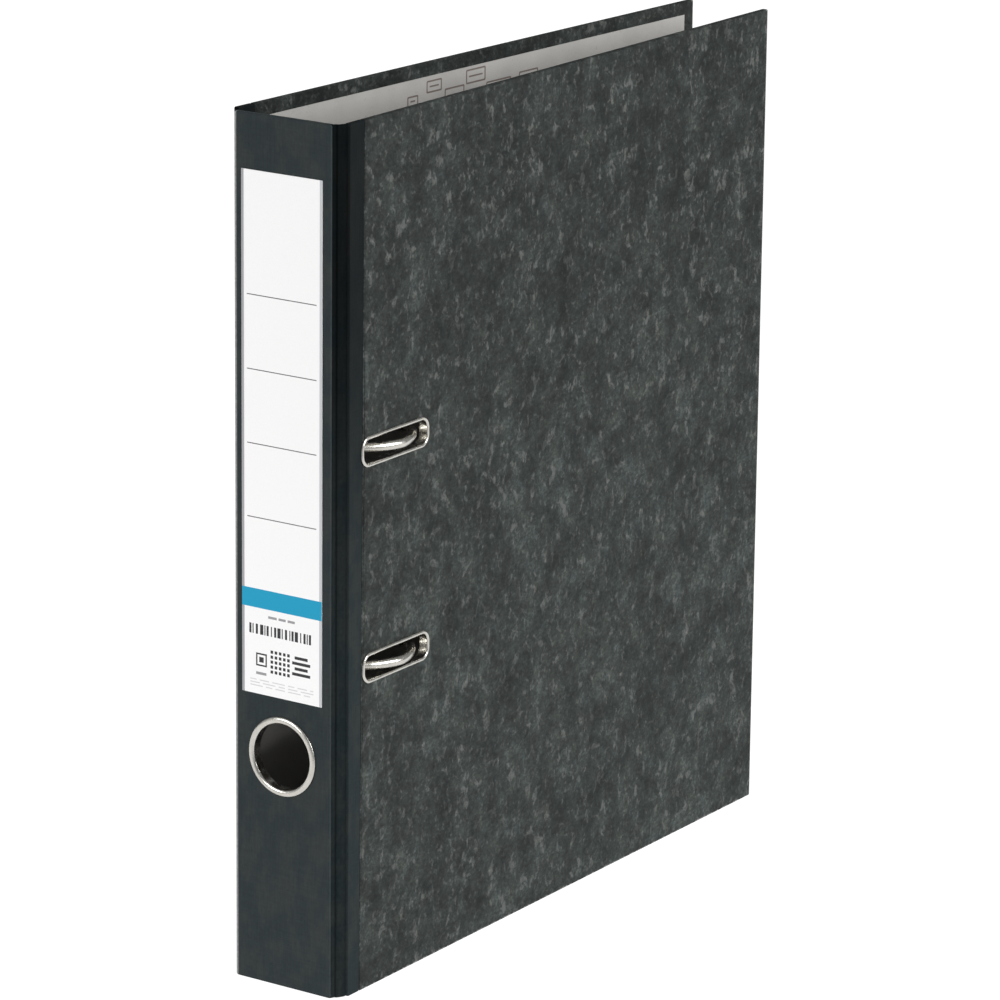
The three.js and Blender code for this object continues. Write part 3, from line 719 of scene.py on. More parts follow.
# Painted shade: the joint paper is darker and dull to stand for the shade in its creases, and
# darker still towards its head.
SHADED_GROOVE = spine_paper("groove_paper", tone=0.56, gloss=0.0, head_shade=0.36)
DARK_LINING = spine_paper("spine_lining_paper", tone=0.8)
LINING = lining_paper("lining_paper")
NICKEL = nickel("nickel")
STEEL = nickel("spring_steel", (0.42, 0.41, 0.39), 0.32)
PLASTIC = grip_plastic("grip_plastic")
LABEL = label_paper("label_paper", 0.875, 0.870, 0.870)
# Painted shade down the label's side edges, darker on the left than the right.
LABEL_LEFT_SHADE = label_paper("label_left_edge", 0.34, 0.34, 0.355)
LABEL_RIGHT_SHADE = label_paper("label_right_edge", 0.52, 0.53, 0.55)
INK_RULE = label_paper("label_rule_ink", 0.10, 0.10, 0.105)
INK_LINE = label_paper("label_line_ink", 0.30, 0.30, 0.31)
INK_BLUE = label_paper("label_blue_ink", 0.004, 0.300, 0.49)
INK_DARK = label_paper("label_dark_ink", 0.030, 0.030, 0.033)
INK_FAINT = label_paper("label_faint_ink", 0.62, 0.61, 0.62)
INK_LINING = label_paper("lining_ink", 0.125, 0.100, 0.088)


# Covers

def cover_slab(near, far, face, holes):
    """A cover's shape between two reaches, up to the lining, which is a little proud of it.

    The edge where board and strip meet leans outwards as it climbs.
    """
    outside = rounded_rectangle((near, 0), (far, FILE_HEIGHT), PANEL_CORNER)
    profile = slab_profile(LINING_PROUD - THICKNESS, face, PANEL_ROUND)
    vertices, faces, caps = lofted([outside, *holes], profile)
    for number, (x, y, z) in enumerate(vertices):
        if abs(x - STRIP_WIDTH) < 2 * PANEL_CORNER:
            vertices[number] = (x + STRIP_SLANT * y / FILE_HEIGHT, y, z)
    return vertices, faces, caps


def cover_panel(name, side, holes):
    """A covered board, its paper turned in over every edge."""
    shape = cover_slab(STRIP_WIDTH, COVER_DEPTH, 0, holes)
    nodes = (name + "_board", name + "_wrap")
    solid(name + "_panel", shape, cover_place(side), (CLOUD, CLOUD_EDGE), name, nodes)


def cover_strip(name, side):
    """The spine's paper, carried on round the joint end of the cover."""
    shape = cover_slab(0, STRIP_WIDTH, -STRIP_SINK, [])
    nodes = (name + "_strip",)
    solid(name + "_edge_paper", shape, cover_place(side), (STRIP,), name, nodes)


# The punched slots by reach and height. They lie a little off their true places, as in the photo.
SLOT_PLACES = {
    "upper": (SLOT_MIDDLE - 0.0003, (FILE_HEIGHT + HOLE_PITCH) / 2 + 0.0005),
    "lower": (SLOT_MIDDLE + 0.0007, (FILE_HEIGHT - HOLE_PITCH) / 2 + 0.0011),
}


def slot_eyelet(name, place):
    """A pressed eyelet with a lip rolled over on the face, and its washer on the lining."""
    eyelet = eyelet_profile(0, EYELET_RIM, EYELET_WALL, EYELET_PROUD, EYELET_END)
    face = -THICKNESS - LINING_PROUD
    washer = rolled_lip(EYELET_WALL, WASHER_RIM, face, -WASHER_PROUD)
    for kind, profile in (("eyelet_", eyelet), ("washer_", washer)):
        shape = lofted([slot(place)], profile, closed=True)
        nodes = ("slot_" + kind + name,)
        solid("rolled_" + kind + name, shape, cover_place(1), (NICKEL,), "front_cover", nodes)


def cover_lining(holes):
    """The front cover's lining, with its slots."""
    low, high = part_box("front_cover_lining")
    inner_end = (high.y - COVER_START + THICKNESS * math.sin(COVER_LEAN)) / math.cos(COVER_LEAN)
    outside = rounded_rectangle((0, low.z), (inner_end, high.z), LINING_CORNER)
    shape = lofted([outside, *holes], [(0, -THICKNESS), (0, LINING_PAPER - THICKNESS)])
    solid("front_cover_lining_sheet", shape, cover_place(1), (LINING,), "front_cover",
          ("front_cover_lining",))


# Generic outlined boxes printed near the head of the back cover's lining: the reach and height
# of each one's middle, and its half sizes along both.
BOX_WEIGHT = 0.0006
BOX_THICKNESS = 0.00003
BOXES = (
    (0.09975, 0.3050, 0.00325, 0.0020),
    (0.1126, 0.3089, 0.0046, 0.0023),
    (0.1250, 0.3039, 0.0060, 0.0029),
    (0.1380, 0.3091, 0.0060, 0.0027),
    (0.15225, 0.3023, 0.00775, 0.0033),
    (0.1710, 0.3032, 0.0060, 0.0032),
)


def lining_print():
    """Thin outlines of ink, each with a line across its middle."""
    levels = ((0, 0), (0, BOX_THICKNESS))
    half = BOX_WEIGHT / 2
    shapes = []
    for x, y, across, up in BOXES:
        outside = middled_rectangle(x, y, across, up, BOX_WEIGHT)
        inside = middled_rectangle(x, y, across - BOX_WEIGHT, up - BOX_WEIGHT, half)
        dash = middled_rectangle(x, y, across - 3 * BOX_WEIGHT, half, half)
        shapes += [lofted([outside, inside], levels), lofted([dash], levels)]
    floor_level = Matrix.Translation((0, -FILE_HEIGHT / 2, 0))
    solid("lining_boxes", joined(shapes), MECHANISM @ floor_level, (INK_LINING,), "back_cover")


# Spine

def spine_panel():
    outside = rounded_rectangle((-SPINE_HALF, 0), (SPINE_HALF, FILE_HEIGHT), SPINE_CORNER)
    finger_hole = hull([(0, RING_HEIGHT, RING_BORE + RING_WALL + HOLE_GAP)], 2 * ROUND_SIDES)
    profile = slab_profile(LINING_PROUD - THICKNESS, 0, SPINE_ROUND)
    solid("spine_panel", lofted([outside, finger_hole], profile), SPINE, (SLATE,), "spine",
          ("spine_board", "spine_wrap"))


def finger_ring():
    """The ring: its lip rolled over the flange, and a barrel through the spine."""
    profile = eyelet_profile(RING_BORE, RING_FLANGE, RING_WALL, RING_PROUD, RING_END)
    shape = lofted([circle(0, RING_HEIGHT, 2 * ROUND_SIDES)], profile, closed=True)
    solid("rolled_finger_ring", shape, SPINE, (NICKEL,), "spine", ("finger_ring",))


# The outer joint paper, across from the spine's edge and back from its face: it dips in two
# creases with a low ridge between them.
JOINT_PAPER = 0.0004
JOINT_POINTS = (
    (-0.0005, 0.0007),
    (0.00015, 0.0010),
    (0.0006, 0.0023),
    (0.0014, 0.0025),
    (0.0022, 0.0038),
    (0.0027, 0.0049),
    (0.0034, 0.0060),
)
JOINT_STEPS = 6
JOINT_ENDS = (0.0002, FILE_HEIGHT - 0.0001)
INNER_JOINT_PAPER = 0.00025
INNER_JOINT_LAP = 0.001
INNER_JOINT_EASE = 0.0002


def smooth_line(points, steps):
    """Points on a curve that runs smoothly through the given ones."""
    ends = [points[0], *points, points[-1]]
    line = []
    for first, second, third, fourth in zip(ends, ends[1:], ends[2:], ends[3:]):
        for step in range(steps):
            t = step / steps
            line.append(
                0.5 * (2 * second + (third - first) * t
                       + (2 * first - 5 * second + 4 * third - fourth) * t ** 2
                       + (3 * second - first - 3 * third + fourth) * t ** 3)
            )
    return [*line, points[-1]]


def sheet_section(line, thickness):
    """The closed section of a sheet, its outer side along a line and the other inside it."""
    inside = []
    for number, point in enumerate(line):
        run = line[min(number + 1, len(line) - 1)] - line[max(number - 1, 0)]
        inside.append(point + Vector((-run.y, run.x)).normalized() * thickness)
    return [*line, *reversed(inside)]


def joint_sheet(name, side, points, thickness, ends):
    line = smooth_line([Vector(point) for point in points], JOINT_STEPS)
    section = [Vector((side * x, y)) for x, y in sheet_section(line, thickness)]
    shape = lofted([lambda margin: section], [(0, ends[0]), (0, ends[1])])
    still = Matrix.Identity(4)
    # the joint papers carry painted shade
    piece = solid(name + "_sheet", shape, still, (SHADED_GROOVE,), None, (name,))
    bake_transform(piece)


def joints():
    outer = [(SPINE_HALF + x, SPINE_FACE + y) for x, y in JOINT_POINTS]
    for name, side in (("front", 1), ("back", -1)):
        joint_sheet(name + "_joint_outer", side, outer, JOINT_PAPER, JOINT_ENDS)
        low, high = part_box(name + "_joint_inner")
        near, far = sorted((abs(low.x), abs(high.x)))
        inner = (
            (near - INNER_JOINT_LAP, low.y + INNER_JOINT_EASE),
            (near + INNER_JOINT_EASE, low.y + 1.5 * INNER_JOINT_EASE),
            ((near + far) / 2, (low.y + high.y) / 2),
            (far, high.y),
            (far - INNER_JOINT_EASE / 4, high.y + INNER_JOINT_LAP),
        )
        joint_sheet(name + "_joint_inner", side, inner, INNER_JOINT_PAPER, (low.z, high.z))


# Label: places are across from its middle and down from its top. The dot mark is its place,
# half width, line and dot, the next two are a place, half width, count and filled share, and the
# tag mark is a left, right, top and bottom.
LABEL_EDGE_SHADE_WIDTH = 0.0011
RULE_FIRST = 0.0441
RULE_PITCH = 0.0268
RULE_COUNT = 4
RULE_HALF = 0.0152
RULE_WEIGHT = 0.00036
BAND_TOP = 0.1508
BAND_HEIGHT = 0.0070
CAPTION_TOP = 0.1601
CAPTION_WORDS = ((-0.0060, -0.0022), (-0.0014, 0.0018), (0.0026, 0.0058))
CAPTION_HEIGHT = 0.0009
BARS_TOP = 0.1638
BARS_HEIGHT = 0.0037
BARS_HALF = 0.0144
BARS_UNIT = 0.00048
MARK_MIDDLE = 0.1768
DOT_MARK = (-0.0090, 0.0024, 0.0006, 0.0010)
GRID_MARK = (-0.0007, 0.0046, 5, 0.62)
STACK_MARK = (0.0086, 0.0040, 4, 0.55)
STACK_SHORT = 0.72
TAG_MARK = (-0.0114, -0.0068, 0.1814, 0.1824)
PRINT_TOP = 0.1842
PRINT_PITCH = 0.0011
PRINT_WEIGHT = 0.0004
PRINT_ROWS = 3
PRINT_HALF = 0.0140
PRINT_UNIT = 0.0014


def square(x, y, half, ink):
    return (x - half, x + half, y - half, y + half, ink)


def icons():
    """Three generic marks: a dot in a square, a grid of squares, and bars long and short."""
    x, half, weight, dot = DOT_MARK
    marks = [
        square(x, MARK_MIDDLE, half, INK_DARK),
        square(x, MARK_MIDDLE, half - weight, LABEL),
        square(x, MARK_MIDDLE, dot, INK_DARK),
    ]
    x, half, count, share = GRID_MARK
    pitch = 2 * half / count
    offsets = [(number + 0.5) * pitch - half for number in range(count)]
    marks += [
        square(x + across, MARK_MIDDLE + down, pitch * share / 2, INK_DARK)
        for across in offsets
        for down in offsets
    ]
    x, half, count, share = STACK_MARK
    pitch = 2 * half / count
    for number in range(count):
        top = MARK_MIDDLE - half + number * pitch
        width = half if number % 2 else half * STACK_SHORT
        marks.append((x - width, x + width, top, top + pitch * share, INK_DARK))
    return marks


def bars():
    """Upright bars of a few widths, in no code."""
    marks = []
    place = -BARS_HALF
    number = 0
    while place < BARS_HALF - 3 * BARS_UNIT:
        width = BARS_UNIT * (1 + (number * 7 + 3) % 5 // 2)
        marks.append((place, place + width, BARS_TOP, BARS_TOP + BARS_HEIGHT, INK_DARK))
        place += width + BARS_UNIT * (1 + (number * 5 + 1) % 4 // 2)
        number += 1
    return marks


def fine_print():
    """Rows of faint dashes."""
    marks = []
    for row in range(PRINT_ROWS):
        top = PRINT_TOP + row * PRINT_PITCH
        place = -PRINT_HALF
        word = row
        while place < PRINT_HALF:
            end = min(place + PRINT_UNIT * (2 + word % 3), PRINT_HALF)
            marks.append((place, end, top, top + PRINT_WEIGHT, INK_FAINT))
            place = end + PRINT_UNIT
            word += 1
    return marks


def label_print():
    """Rectangles on the label: left, right, top and bottom, and an ink. The two strips down its
    side edges are painted shade, the rest print.
    """
    half, height = label_high.x, label_high.z - label_low.z
    marks = [
        # painted shade down both side edges
        (-half, LABEL_EDGE_SHADE_WIDTH - half, 0, height, LABEL_LEFT_SHADE),
        (half - LABEL_EDGE_SHADE_WIDTH, half, 0, height, LABEL_RIGHT_SHADE),
        (-half, half, BAND_TOP, BAND_TOP + BAND_HEIGHT, INK_BLUE),
        (*TAG_MARK, INK_LINE),
    ]
    for left, right in CAPTION_WORDS:
        marks.append((left, right, CAPTION_TOP, CAPTION_TOP + CAPTION_HEIGHT, INK_LINE))
    for number in range(RULE_COUNT):
        top = RULE_FIRST + number * RULE_PITCH
        marks.append((-RULE_HALF, RULE_HALF, top, top + RULE_WEIGHT, INK_RULE))
    return marks + bars() + icons() + fine_print()


LABEL_LIFT = 0.00002
SAME_PLACE = 1e-8


def cut_places(low, high, marks, first, second):
    """Every place where a mark starts or ends, with both ends of the sheet."""
    ends = {mark[pick] for mark in marks for pick in (first, second)}
    places = sorted({low, high, *ends})
    return [
        place for number, place in enumerate(places)
        if not number or place - places[number - 1] > SAME_PLACE
    ]


def printed_sheet(name, low, high, marks, paper):
    """A thin sheet whose face is cut along its print, so that each ink has its own faces."""
    across = cut_places(low.x, high.x, marks, 0, 1)
    down = cut_places(0, high.z - low.z, marks, 2, 3)
    inks = [paper, *sorted({mark[4] for mark in marks} - {paper}, key=lambda ink: ink.name)]
    vertices = [Vector((x, y, high.z - z)) for y in (low.y, high.y) for z in down for x in across]
    row, sheet = len(across), len(across) * len(down)
    faces, picks = [], []
    for line in range(len(down) - 1):
        for column in range(row - 1):
            near = line * row + column
            corners = (near, near + 1, near + row + 1, near + row)
            x = (across[column] + across[column + 1]) / 2
            z = (down[line] + down[line + 1]) / 2
            pick = 0
            for left, right, top, bottom, ink in marks:
                if left < x < right and top < z < bottom:
                    pick = inks.index(ink)
            faces += [corners, tuple(sheet + corner for corner in reversed(corners))]
            picks += [pick, 0]
    last = sheet - row
    rim = list(range(row))
    rim += [line * row + row - 1 for line in range(1, len(down))]
    rim += [last + column for column in range(row - 2, -1, -1)]
    rim += [line * row for line in range(len(down) - 2, 0, -1)]
    for first, second in zip(rim, rim[1:] + rim[:1]):
        faces.append((first, sheet + first, sheet + second, second))
        picks.append(0)
    return piece_of(name, vertices, faces, inks, picks)


def spine_label():
    high = Vector((label_high.x, SPINE_FACE - LABEL_LIFT, label_high.z))
    piece = printed_sheet("label_sheet", label_low, high, label_print(), LABEL)
    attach(piece, "spine")
    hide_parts("spine_label")


# Mechanism

def mechanism_piece(name, shapes, node, body="back_cover", material=NICKEL, matrix=MECHANISM):
    solid(name, joined(shapes), matrix, (material,), body, (node,))


def arch_path():
    """Half an oval from post to pivot without its ends, slimmer than an ellipse."""
    middle = PIVOT_REACH + ARCH_SPAN / 2
    power = 2 / ARCH_FULLNESS
    path = []
    for step in range(1, ARCH_STEPS):
        angle = math.pi * step / ARCH_STEPS
        along = math.copysign(abs(math.cos(angle)) ** power, math.cos(angle))
        out = abs(math.sin(angle)) ** power
        path.append((middle + ARCH_SPAN / 2 * along, ARCH_SPRING + ARCH_RISE * out))
    return path


def bent_path(corners):
    """Straight runs with a bend at each corner between the ends."""
    corners = [Vector(corner) for corner in corners]
    path = [corners[0]]
    for back, here, ahead in zip(corners, corners[1:], corners[2:]):
        path += bend(back, here, ahead, WIRE_BEND, BEND_STEPS)
    return [*path, corners[-1]]


# The nib at each end of the wire, from its tip: how far down and how wide
NIB_SHAPE = (
    (0.0012, 0.0003),
    (0.00102, 0.00054),
    (0.00036, 0.0009),
    (0.0001, 0.0009),
    (0.0, 0.001505),
    (-0.00012, 0.00168),
    (-0.0004, WIRE_RADIUS),
)


def arch_wire():
    """One wire from post to post: arch, pivot, crank, pivot and arch, with a nib at each end."""
    rise = HOLE_PITCH / 2
    frame_run = bent_path((
        (PIVOT_REACH, rise, ARCH_SPRING),
        (PIVOT_REACH, rise, PIVOT_HEIGHT),
        (PIVOT_REACH, CRANK_HALF, PIVOT_HEIGHT),
        (CRANK_REACH, CRANK_HALF, PIVOT_HEIGHT),
        (CRANK_REACH, -CRANK_HALF, PIVOT_HEIGHT),
        (PIVOT_REACH, -CRANK_HALF, PIVOT_HEIGHT),
        (PIVOT_REACH, -rise, PIVOT_HEIGHT),
        (PIVOT_REACH, -rise, ARCH_SPRING),
    ))
    arch = arch_path()
    upper_arch = [Vector((reach, rise, height)) for reach, height in arch]
    lower_arch = [Vector((reach, -rise, height)) for reach, height in reversed(arch)]
    wire = upper_arch + frame_run + lower_arch
    first, last = [
        [(Vector((POST_REACH, end, ARCH_SPRING - down)), radius) for down, radius in NIB_SHAPE]
        for end in (rise, -rise)
    ]
    path = first + [(point, WIRE_RADIUS) for point in wire] + last[::-1]
    mechanism_piece("bent_arch_wire", [tube(path)], "arch_wire", "arches")


def slab(near, far, half, levels, corner, ease, middle=0):
    """A slab between two reaches and two levels, its half length given along the spine."""
    outline = rounded_rectangle((near, middle - half), (far, middle + half), corner)
    return lofted([outline], slab_profile(*levels, ease))


def standing_slab(outline, low, high, ease):
    """A slab drawn by reach and height, between two places along the spine."""
    return placed(lofted([outline], slab_profile(low, high, ease)), MECHANISM.inverted() @ ACROSS)


def base_plate():
    """A pressed plate: its long edges turned up, beads for stiffness, lugs and ears."""
    run = PLATE_HALF - PLATE_CORNER
    levels = (SEAT_GAP, PLATE_TOP)
    shapes = [slab(PLATE_START, PLATE_END, PLATE_HALF, levels, PLATE_CORNER, PLATE_EASE)]
    levels = (SEAT_GAP, PLATE_RIM_TOP)
    for near in (PLATE_START, PLATE_END - PLATE_RIM):
        shapes.append(slab(near, near + PLATE_RIM, run, levels, PLATE_RIM_CORNER, PLATE_EASE))
    levels = (PLATE_TOP - PLATE_EASE, PLATE_TOP + BEAD_HEIGHT)
    near, far = BEAD_REACH - BEAD_HALF_WIDTH, BEAD_REACH + BEAD_HALF_WIDTH
    for middle, half in BEAD_RUNS:
        for side in (1, -1):
            shapes.append(
                slab(near, far, half, levels, BEAD_CORNER, 2 * BEAD_HEIGHT, side * middle)
            )
    standing = [(PIVOT_REACH, PIVOT_HEIGHT, LUG_RADIUS, middle - LUG_HALF, middle + LUG_HALF)
                for middle in (-LUG_MIDDLE, LUG_MIDDLE)]
    standing += [(*LEVER_PIVOT, EAR_RADIUS, *sorted((side * EAR_INNER, side * EAR_OUTER)))
                 for side in (-1, 1)]
    for reach, height, radius, start, end in standing:
        # The foot's circles touch the plate, so that the sides rise straight from it.
        feet = [(reach + side * FOOT_SPREAD * radius, PLATE_TOP - FOOT_DEPTH * radius,
                 FOOT_ROUND * radius) for side in (-1, 1)]
        outline = hull([(reach, height, radius), *feet])
        shapes.append(standing_slab(outline, start, end, PLATE_EASE))
    mechanism_piece("pressed_base_plate", shapes, "base_plate")


def posts():
    for place, rise in HOLE_RISES.items():
        foot = PLATE_TOP + SEAT_GAP
        profile = eased((
            (POST_TAIL, SEAT_GAP, 0),
            (POST_TAIL, foot, 0),
            (POST_FOOT, foot, FINE_EASE),
            (POST_FOOT, (foot + POST_FOOT_TOP) / 2, POST_FOOT_EASE),
            (POST_RADIUS, POST_FOOT_TOP, POST_EASE),
            (POST_RADIUS, POST_TOP, POST_EASE),
            (POST_BORE, POST_TOP, FINE_EASE),
            (POST_BORE, POST_TOP - POST_BORE_DEPTH, 0),
        ))
        shape = lofted([circle(POST_REACH, rise)], profile)
        mechanism_piece("turned_post_" + place, [shape], "post_" + place)


def rivets():
    outer = -THICKNESS - RING_SEAT
    inner = PLATE_TOP + SEAT_GAP
    profile = [
        *reversed(dome(RIVET_HEAD, outer, -RIVET_HEAD_HEIGHT)),
        (RIVET_RADIUS, outer),
        (RIVET_RADIUS, inner),
        *dome(RIVET_INNER, inner, RIVET_INNER_HEIGHT),
    ]
    for row, side in (("upper", 1), ("lower", -1)):
        for end, reach in (("inner", PIVOT_REACH), ("outer", POST_REACH)):
            place = row + "_" + end
            shape = lofted([circle(reach, side * RIVET_RISE)], profile)
            mechanism_piece("domed_rivet_" + place, [shape], "rivet_" + place)
    small = [
        (SPRING_RIVET_RADIUS, SEAT_GAP),
        (SPRING_RIVET_RADIUS, SPRING_RIVET_SEAT),
        *dome(SPRING_RIVET_HEAD, SPRING_RIVET_SEAT, SPRING_RIVET_HEIGHT),
    ]
    shape = lofted([circle(SPRING_RIVET_REACH, 0)], small)
    mechanism_piece("domed_spring_rivet", [shape], "spring_rivet")


def lever_parts():
    """The lever with its pins, roller and grip."""
    outline = hull([
        (*LEVER_PIVOT, CHEEK_RADIUS),
        (*ROLLER_PLACE, CHEEK_RADIUS),
        (*LEVER_END, CHEEK_END_RADIUS),
    ])
    shapes = [standing_slab(outline, low, high, LEVER_EDGE)
              for low, high in ((-CHEEK_OUTER, -CHEEK_INNER), (CHEEK_INNER, CHEEK_OUTER))]
    levels = (WEB_BOTTOM, WEB_TOP)
    front_levels = (WEB_FRONT_LOW, WEB_TOP - LEVER_EDGE)
    end = LEVER_END[0]
    shapes += [
        slab(WEB_FRONT, WEB_END, CHEEK_OUTER, levels, WEB_CORNER, LEVER_EDGE),
        slab(WEB_FRONT, end, CHEEK_OUTER, front_levels, WEB_FRONT_CORNER, FINE_EASE),
        slab(TONGUE_START, end, TONGUE_HALF, TONGUE_LEVELS, TONGUE_CORNER, LEVER_EDGE),
    ]
    mechanism_piece("pressed_lever", shapes, "lever_arm", "lever")

    half = [(LEVER_PIN, LEVER_PIN_HALF), *dome(PIN_HEAD, LEVER_PIN_HALF, PIN_HEAD_HEIGHT)]
    profile = [(radius, -level) for radius, level in reversed(half)] + half
    pin = lofted([circle(*LEVER_PIVOT)], profile)
    mechanism_piece("headed_lever_pin", [pin], "lever_pivot_pin", matrix=ACROSS)
    profile = slab_profile(-CHEEK_OUTER, CHEEK_OUTER, ROLLER_PIN_EASE)
    pin = lofted([hull([(*ROLLER_PLACE, ROLLER_PIN)])], profile)
    mechanism_piece("eased_roller_pin", [pin], "roller_pin", "lever", matrix=ACROSS)

    profile = eased((
        (ROLLER_BORE, -ROLLER_HALF, FINE_EASE),
        (ROLLER_RADIUS, -ROLLER_HALF, ROLLER_EDGE),
        (ROLLER_RADIUS, ROLLER_HALF, ROLLER_EDGE),
        (ROLLER_BORE, ROLLER_HALF, FINE_EASE),
    ), closed=True)
    wheel = lofted([circle(*ROLLER_PLACE)], profile, closed=True)
    mechanism_piece("turned_roller", [wheel], "roller", "roller", matrix=ACROSS)

    shapes = [slab(GRIP_START, GRIP_END, GRIP_HALF, GRIP_LEVELS, GRIP_CORNER, GRIP_EASE)]
    levels = (GRIP_LEVELS[1] - GRIP_RIB_SINK, GRIP_LEVELS[1] + GRIP_RIB_PROUD)
    quarter = GRIP_RIB_PITCH / 4
    for number in range(GRIP_RIBS):
        reach = (GRIP_START + GRIP_END) / 2 + (number - (GRIP_RIBS - 1) / 2) * GRIP_RIB_PITCH
        ends = (reach - quarter, reach + quarter)
        shapes.append(slab(*ends, GRIP_RIB_HALF, levels, GRIP_RIB_CORNER, GRIP_RIB_SINK))
    mechanism_piece("moulded_grip", shapes, "lever_grip", "lever", PLASTIC)


def compressor():
    """A channel threaded on both posts, and a moulded clip round each post."""
    low, shoulder, top = BAR_LEVELS
    holes = [circle(POST_REACH, rise) for rise in HOLE_RISES.values()]
    near, far = POST_REACH - BAR_HALF_WIDTH, POST_REACH + BAR_HALF_WIDTH
    outside = rounded_rectangle((near, -BAR_HALF), (far, BAR_HALF), BAR_CORNER)
    widened = [lambda margin, hole=hole: hole(BAR_HOLE + margin) for hole in holes]
    shapes = [lofted([outside, *widened], slab_profile(shoulder, top, BAR_EASE))]
    run, levels = BAR_HALF - BAR_CORNER, (low, top - BAR_EASE)
    for start in (near, far - BAR_WALL):
        shapes.append(slab(start, start + BAR_WALL, run, levels, BAR_RIM_CORNER, BAR_EASE))
    mechanism_piece("pressed_compressor", shapes, "compressor_bar", "compressor")
    for (place, rise), hole in zip(HOLE_RISES.items(), widened):
        outline = middled_rectangle(POST_REACH, rise, CLIP_HALF_WIDTH, CLIP_HALF, CLIP_CORNER)
        shape = lofted([outline, hole], slab_profile(*CLIP_LEVELS, CLIP_EASE))
        node = "compressor_clip_" + place
        mechanism_piece("moulded_clip_" + place, [shape], node, "compressor", PLASTIC)


def carried_nodes():
    """Welds the facets of the nodes that stay, eases their edges and gives them materials."""
    for node, material, width in (
        ("spine_lining", DARK_LINING, 0.0),
        ("back_cover_lining", LINING, 0.0),
        ("finger_ring_washer", NICKEL, FINE_EASE),
        ("leaf_spring", STEEL, FINE_EASE),
    ):
        piece = frame["nodes"][node]
        piece.data.materials.clear()
        piece.data.materials.append(material)
        piece.data.shade_smooth()
        weld = piece.modifiers.new("weld", "WELD")
        weld.merge_threshold = WELD_REACH
        if width:
            bevel = piece.modifiers.new("ease", "BEVEL")
            bevel.width = width
            bevel.segments = 2
            bevel.limit_method = "ANGLE"
            bevel.angle_limit = BEVEL_ANGLE
        even_normals(piece)


# Stage, light and camera
FLOOR_SIZE = 30.0
FLOOR_DROP = 0.0001
FLOOR_GLOW = 0.98
FLOOR_SHADE = 0.2
FLOOR_INSET = 0.0015
SHELTER_REACH = 0.30
SHELTER_OPEN = (0.15, 0.40)
FLOOR_FADE = (0.17, 0.70, 1.0, 0.42)
SKY_LOW, SKY_HIGH = 0.32, 0.36
LIGHTS = (
    ("side", (2.2, 0.2, 1.25), 1.2, 64.0),
    ("front", (-0.9, -2.2, 1.1), 1.2, 32.0),
)
LIGHT_AIM = Vector((0, 0, FILE_HEIGHT / 2))
CAMERA_PLACE = (1.09535, -1.58591, 0.67765)
CAMERA_AZIMUTH = math.radians(34.7755)
CAMERA_ELEVATION = math.radians(15.3011)
CAMERA_ROLL = math.radians(0.610)
CAMERA_LENS = 192.568
CAMERA_SENSOR = 36.0


def floor_finish(name, sheltered):
    """A pale floor that glows, less towards the camera, and where sheltered by what it sees."""
    finish = Finish(
        name,
        Specular_IOR_Level=0.0,
        Roughness=1.0,
        Base_Color=(FLOOR_SHADE,) * 3,
        Emission_Color=(1.0, 1.0, 1.0),
    )
    near = finish.math(
        "SUBTRACT",
        finish.product(finish.axis("X"), math.sin(CAMERA_AZIMUTH)),
        finish.product(finish.axis("Y"), math.cos(CAMERA_AZIMUTH)),
    )
    glow = finish.product(finish.ramp(near, *FLOOR_FADE), FLOOR_GLOW)
    if sheltered:
        shelter = finish.node("AmbientOcclusion", {"Distance": SHELTER_REACH}, "AO")
        glow = finish.product(glow, finish.ramp(shelter, *SHELTER_OPEN))
    finish.join(glow, "Emission Strength")
    return finish.material


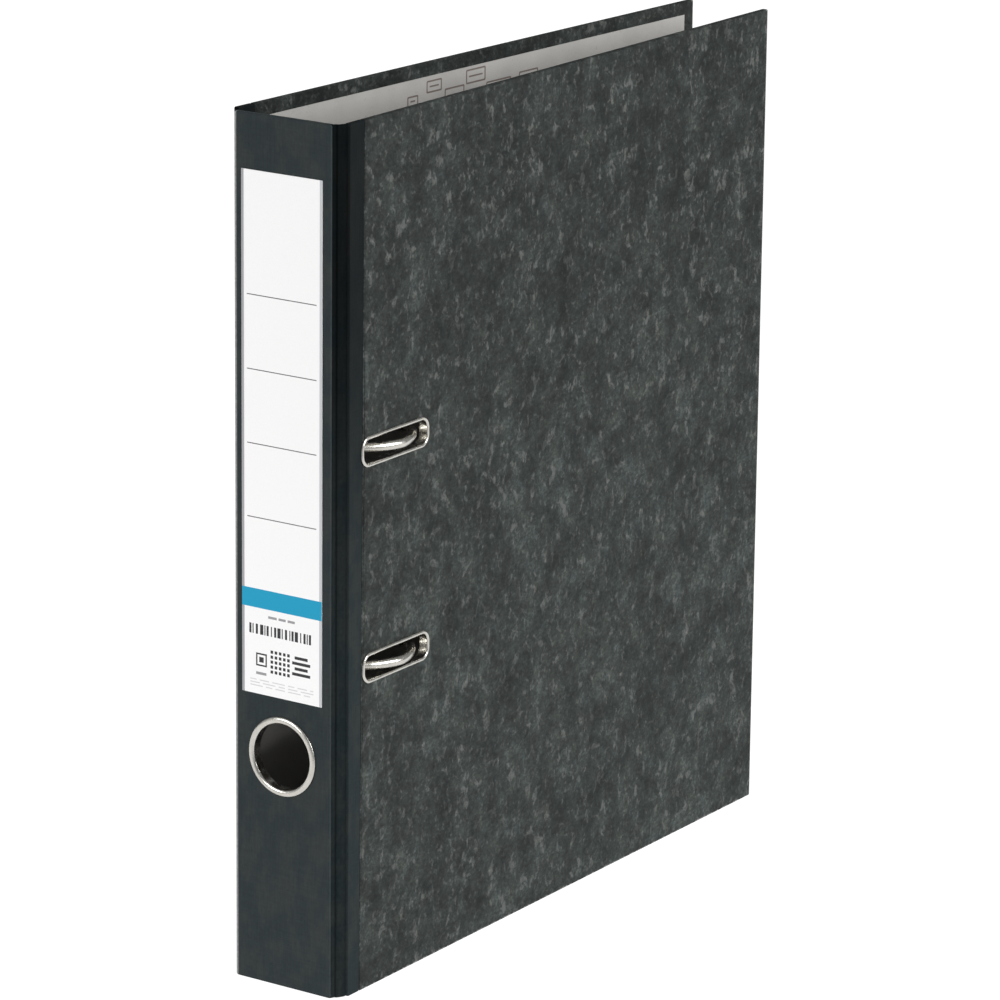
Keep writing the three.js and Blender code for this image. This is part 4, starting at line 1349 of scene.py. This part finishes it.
def stage():
    """The floor. The part that the shut file stands over goes dark when it is walled in."""
    half = FLOOR_SIZE / 2
    wide = COVER_OUTER + COVER_START * math.sin(COVER_LEAN) - FLOOR_INSET
    low, high = FLOOR_INSET + cad_low.y, cad_high.y
    spread = [wide - y * math.sin(COVER_LEAN) for y in (low, high)]
    inner = ((-spread[0], low), (spread[0], low), (spread[1], high), (-spread[1], high))
    outer = ((-half, -half), (half, -half), (half, half), (-half, half))
    places = [(x, y, -FLOOR_DROP) for x, y in outer + inner]
    mesh = bpy.data.meshes.new("floor")
    mesh.from_pydata(places, [], band(0, 4, 4) + [(4, 5, 6, 7)])
    mesh.materials.append(floor_finish("floor", False))
    mesh.materials.append(floor_finish("sheltered_floor", True))
    mesh.polygons[-1].material_index = 1
    floor = added("floor", mesh)


def sky():
    """A soft grey studio, lighter overhead."""
    world = bpy.data.worlds.new("studio")
    world.use_nodes = True
    tree = world.node_tree
    place = output_of(tree, "TexCoord", output="Generated")
    height = output_of(tree, "SeparateXYZ", {0: place}, "Z")
    glow = output_of(tree, "MapRange", {"Value": height, "To Min": SKY_LOW, "To Max": SKY_HIGH})
    background = tree.nodes["Background"]
    join(tree, (1.0, 1.0, 1.0), background.inputs["Color"])
    join(tree, glow, background.inputs["Strength"])
    bpy.context.scene.world = world


def lights():
    for name, place, size, power in LIGHTS:
        data = bpy.data.lights.new(name, "AREA")
        data.energy = power
        data.size = size
        lamp = added(name, data)
        lamp.location = place
        lamp.rotation_mode = "QUATERNION"
        lamp.rotation_quaternion = (LIGHT_AIM - lamp.location).to_track_quat("-Z", "Y")
        lamp.visible_camera = False


def camera():
    data = bpy.data.cameras.new("camera")
    data.lens = CAMERA_LENS
    data.sensor_width = CAMERA_SENSOR
    viewer = added("camera", data)
    viewer.location = CAMERA_PLACE
    forward = Vector((
        -math.sin(CAMERA_AZIMUTH) * math.cos(CAMERA_ELEVATION),
        math.cos(CAMERA_AZIMUTH) * math.cos(CAMERA_ELEVATION),
        -math.sin(CAMERA_ELEVATION),
    ))
    viewer.rotation_mode = "QUATERNION"
    level = forward.to_track_quat("-Z", "Y")
    viewer.rotation_quaternion = level @ Quaternion((0, 0, 1), CAMERA_ROLL)
    bpy.context.scene.camera = viewer
    bpy.context.scene.view_settings.view_transform = "Standard"


camera()
stage()
sky()
lights()
slots = [slot(place, EYELET_WALL + HOLE_GAP) for place in SLOT_PLACES.values()]
cover_panel("front_cover", 1, slots)
cover_panel("back_cover", -1, [])
cover_lining(slots)
cover_strip("front_cover", 1)
cover_strip("back_cover", -1)
for name, place in SLOT_PLACES.items():
    slot_eyelet(name, place)
lining_print()
spine_panel()
finger_ring()
joints()
spine_label()
arch_wire()
base_plate()
posts()
rivets()
lever_parts()
compressor()
carried_nodes()
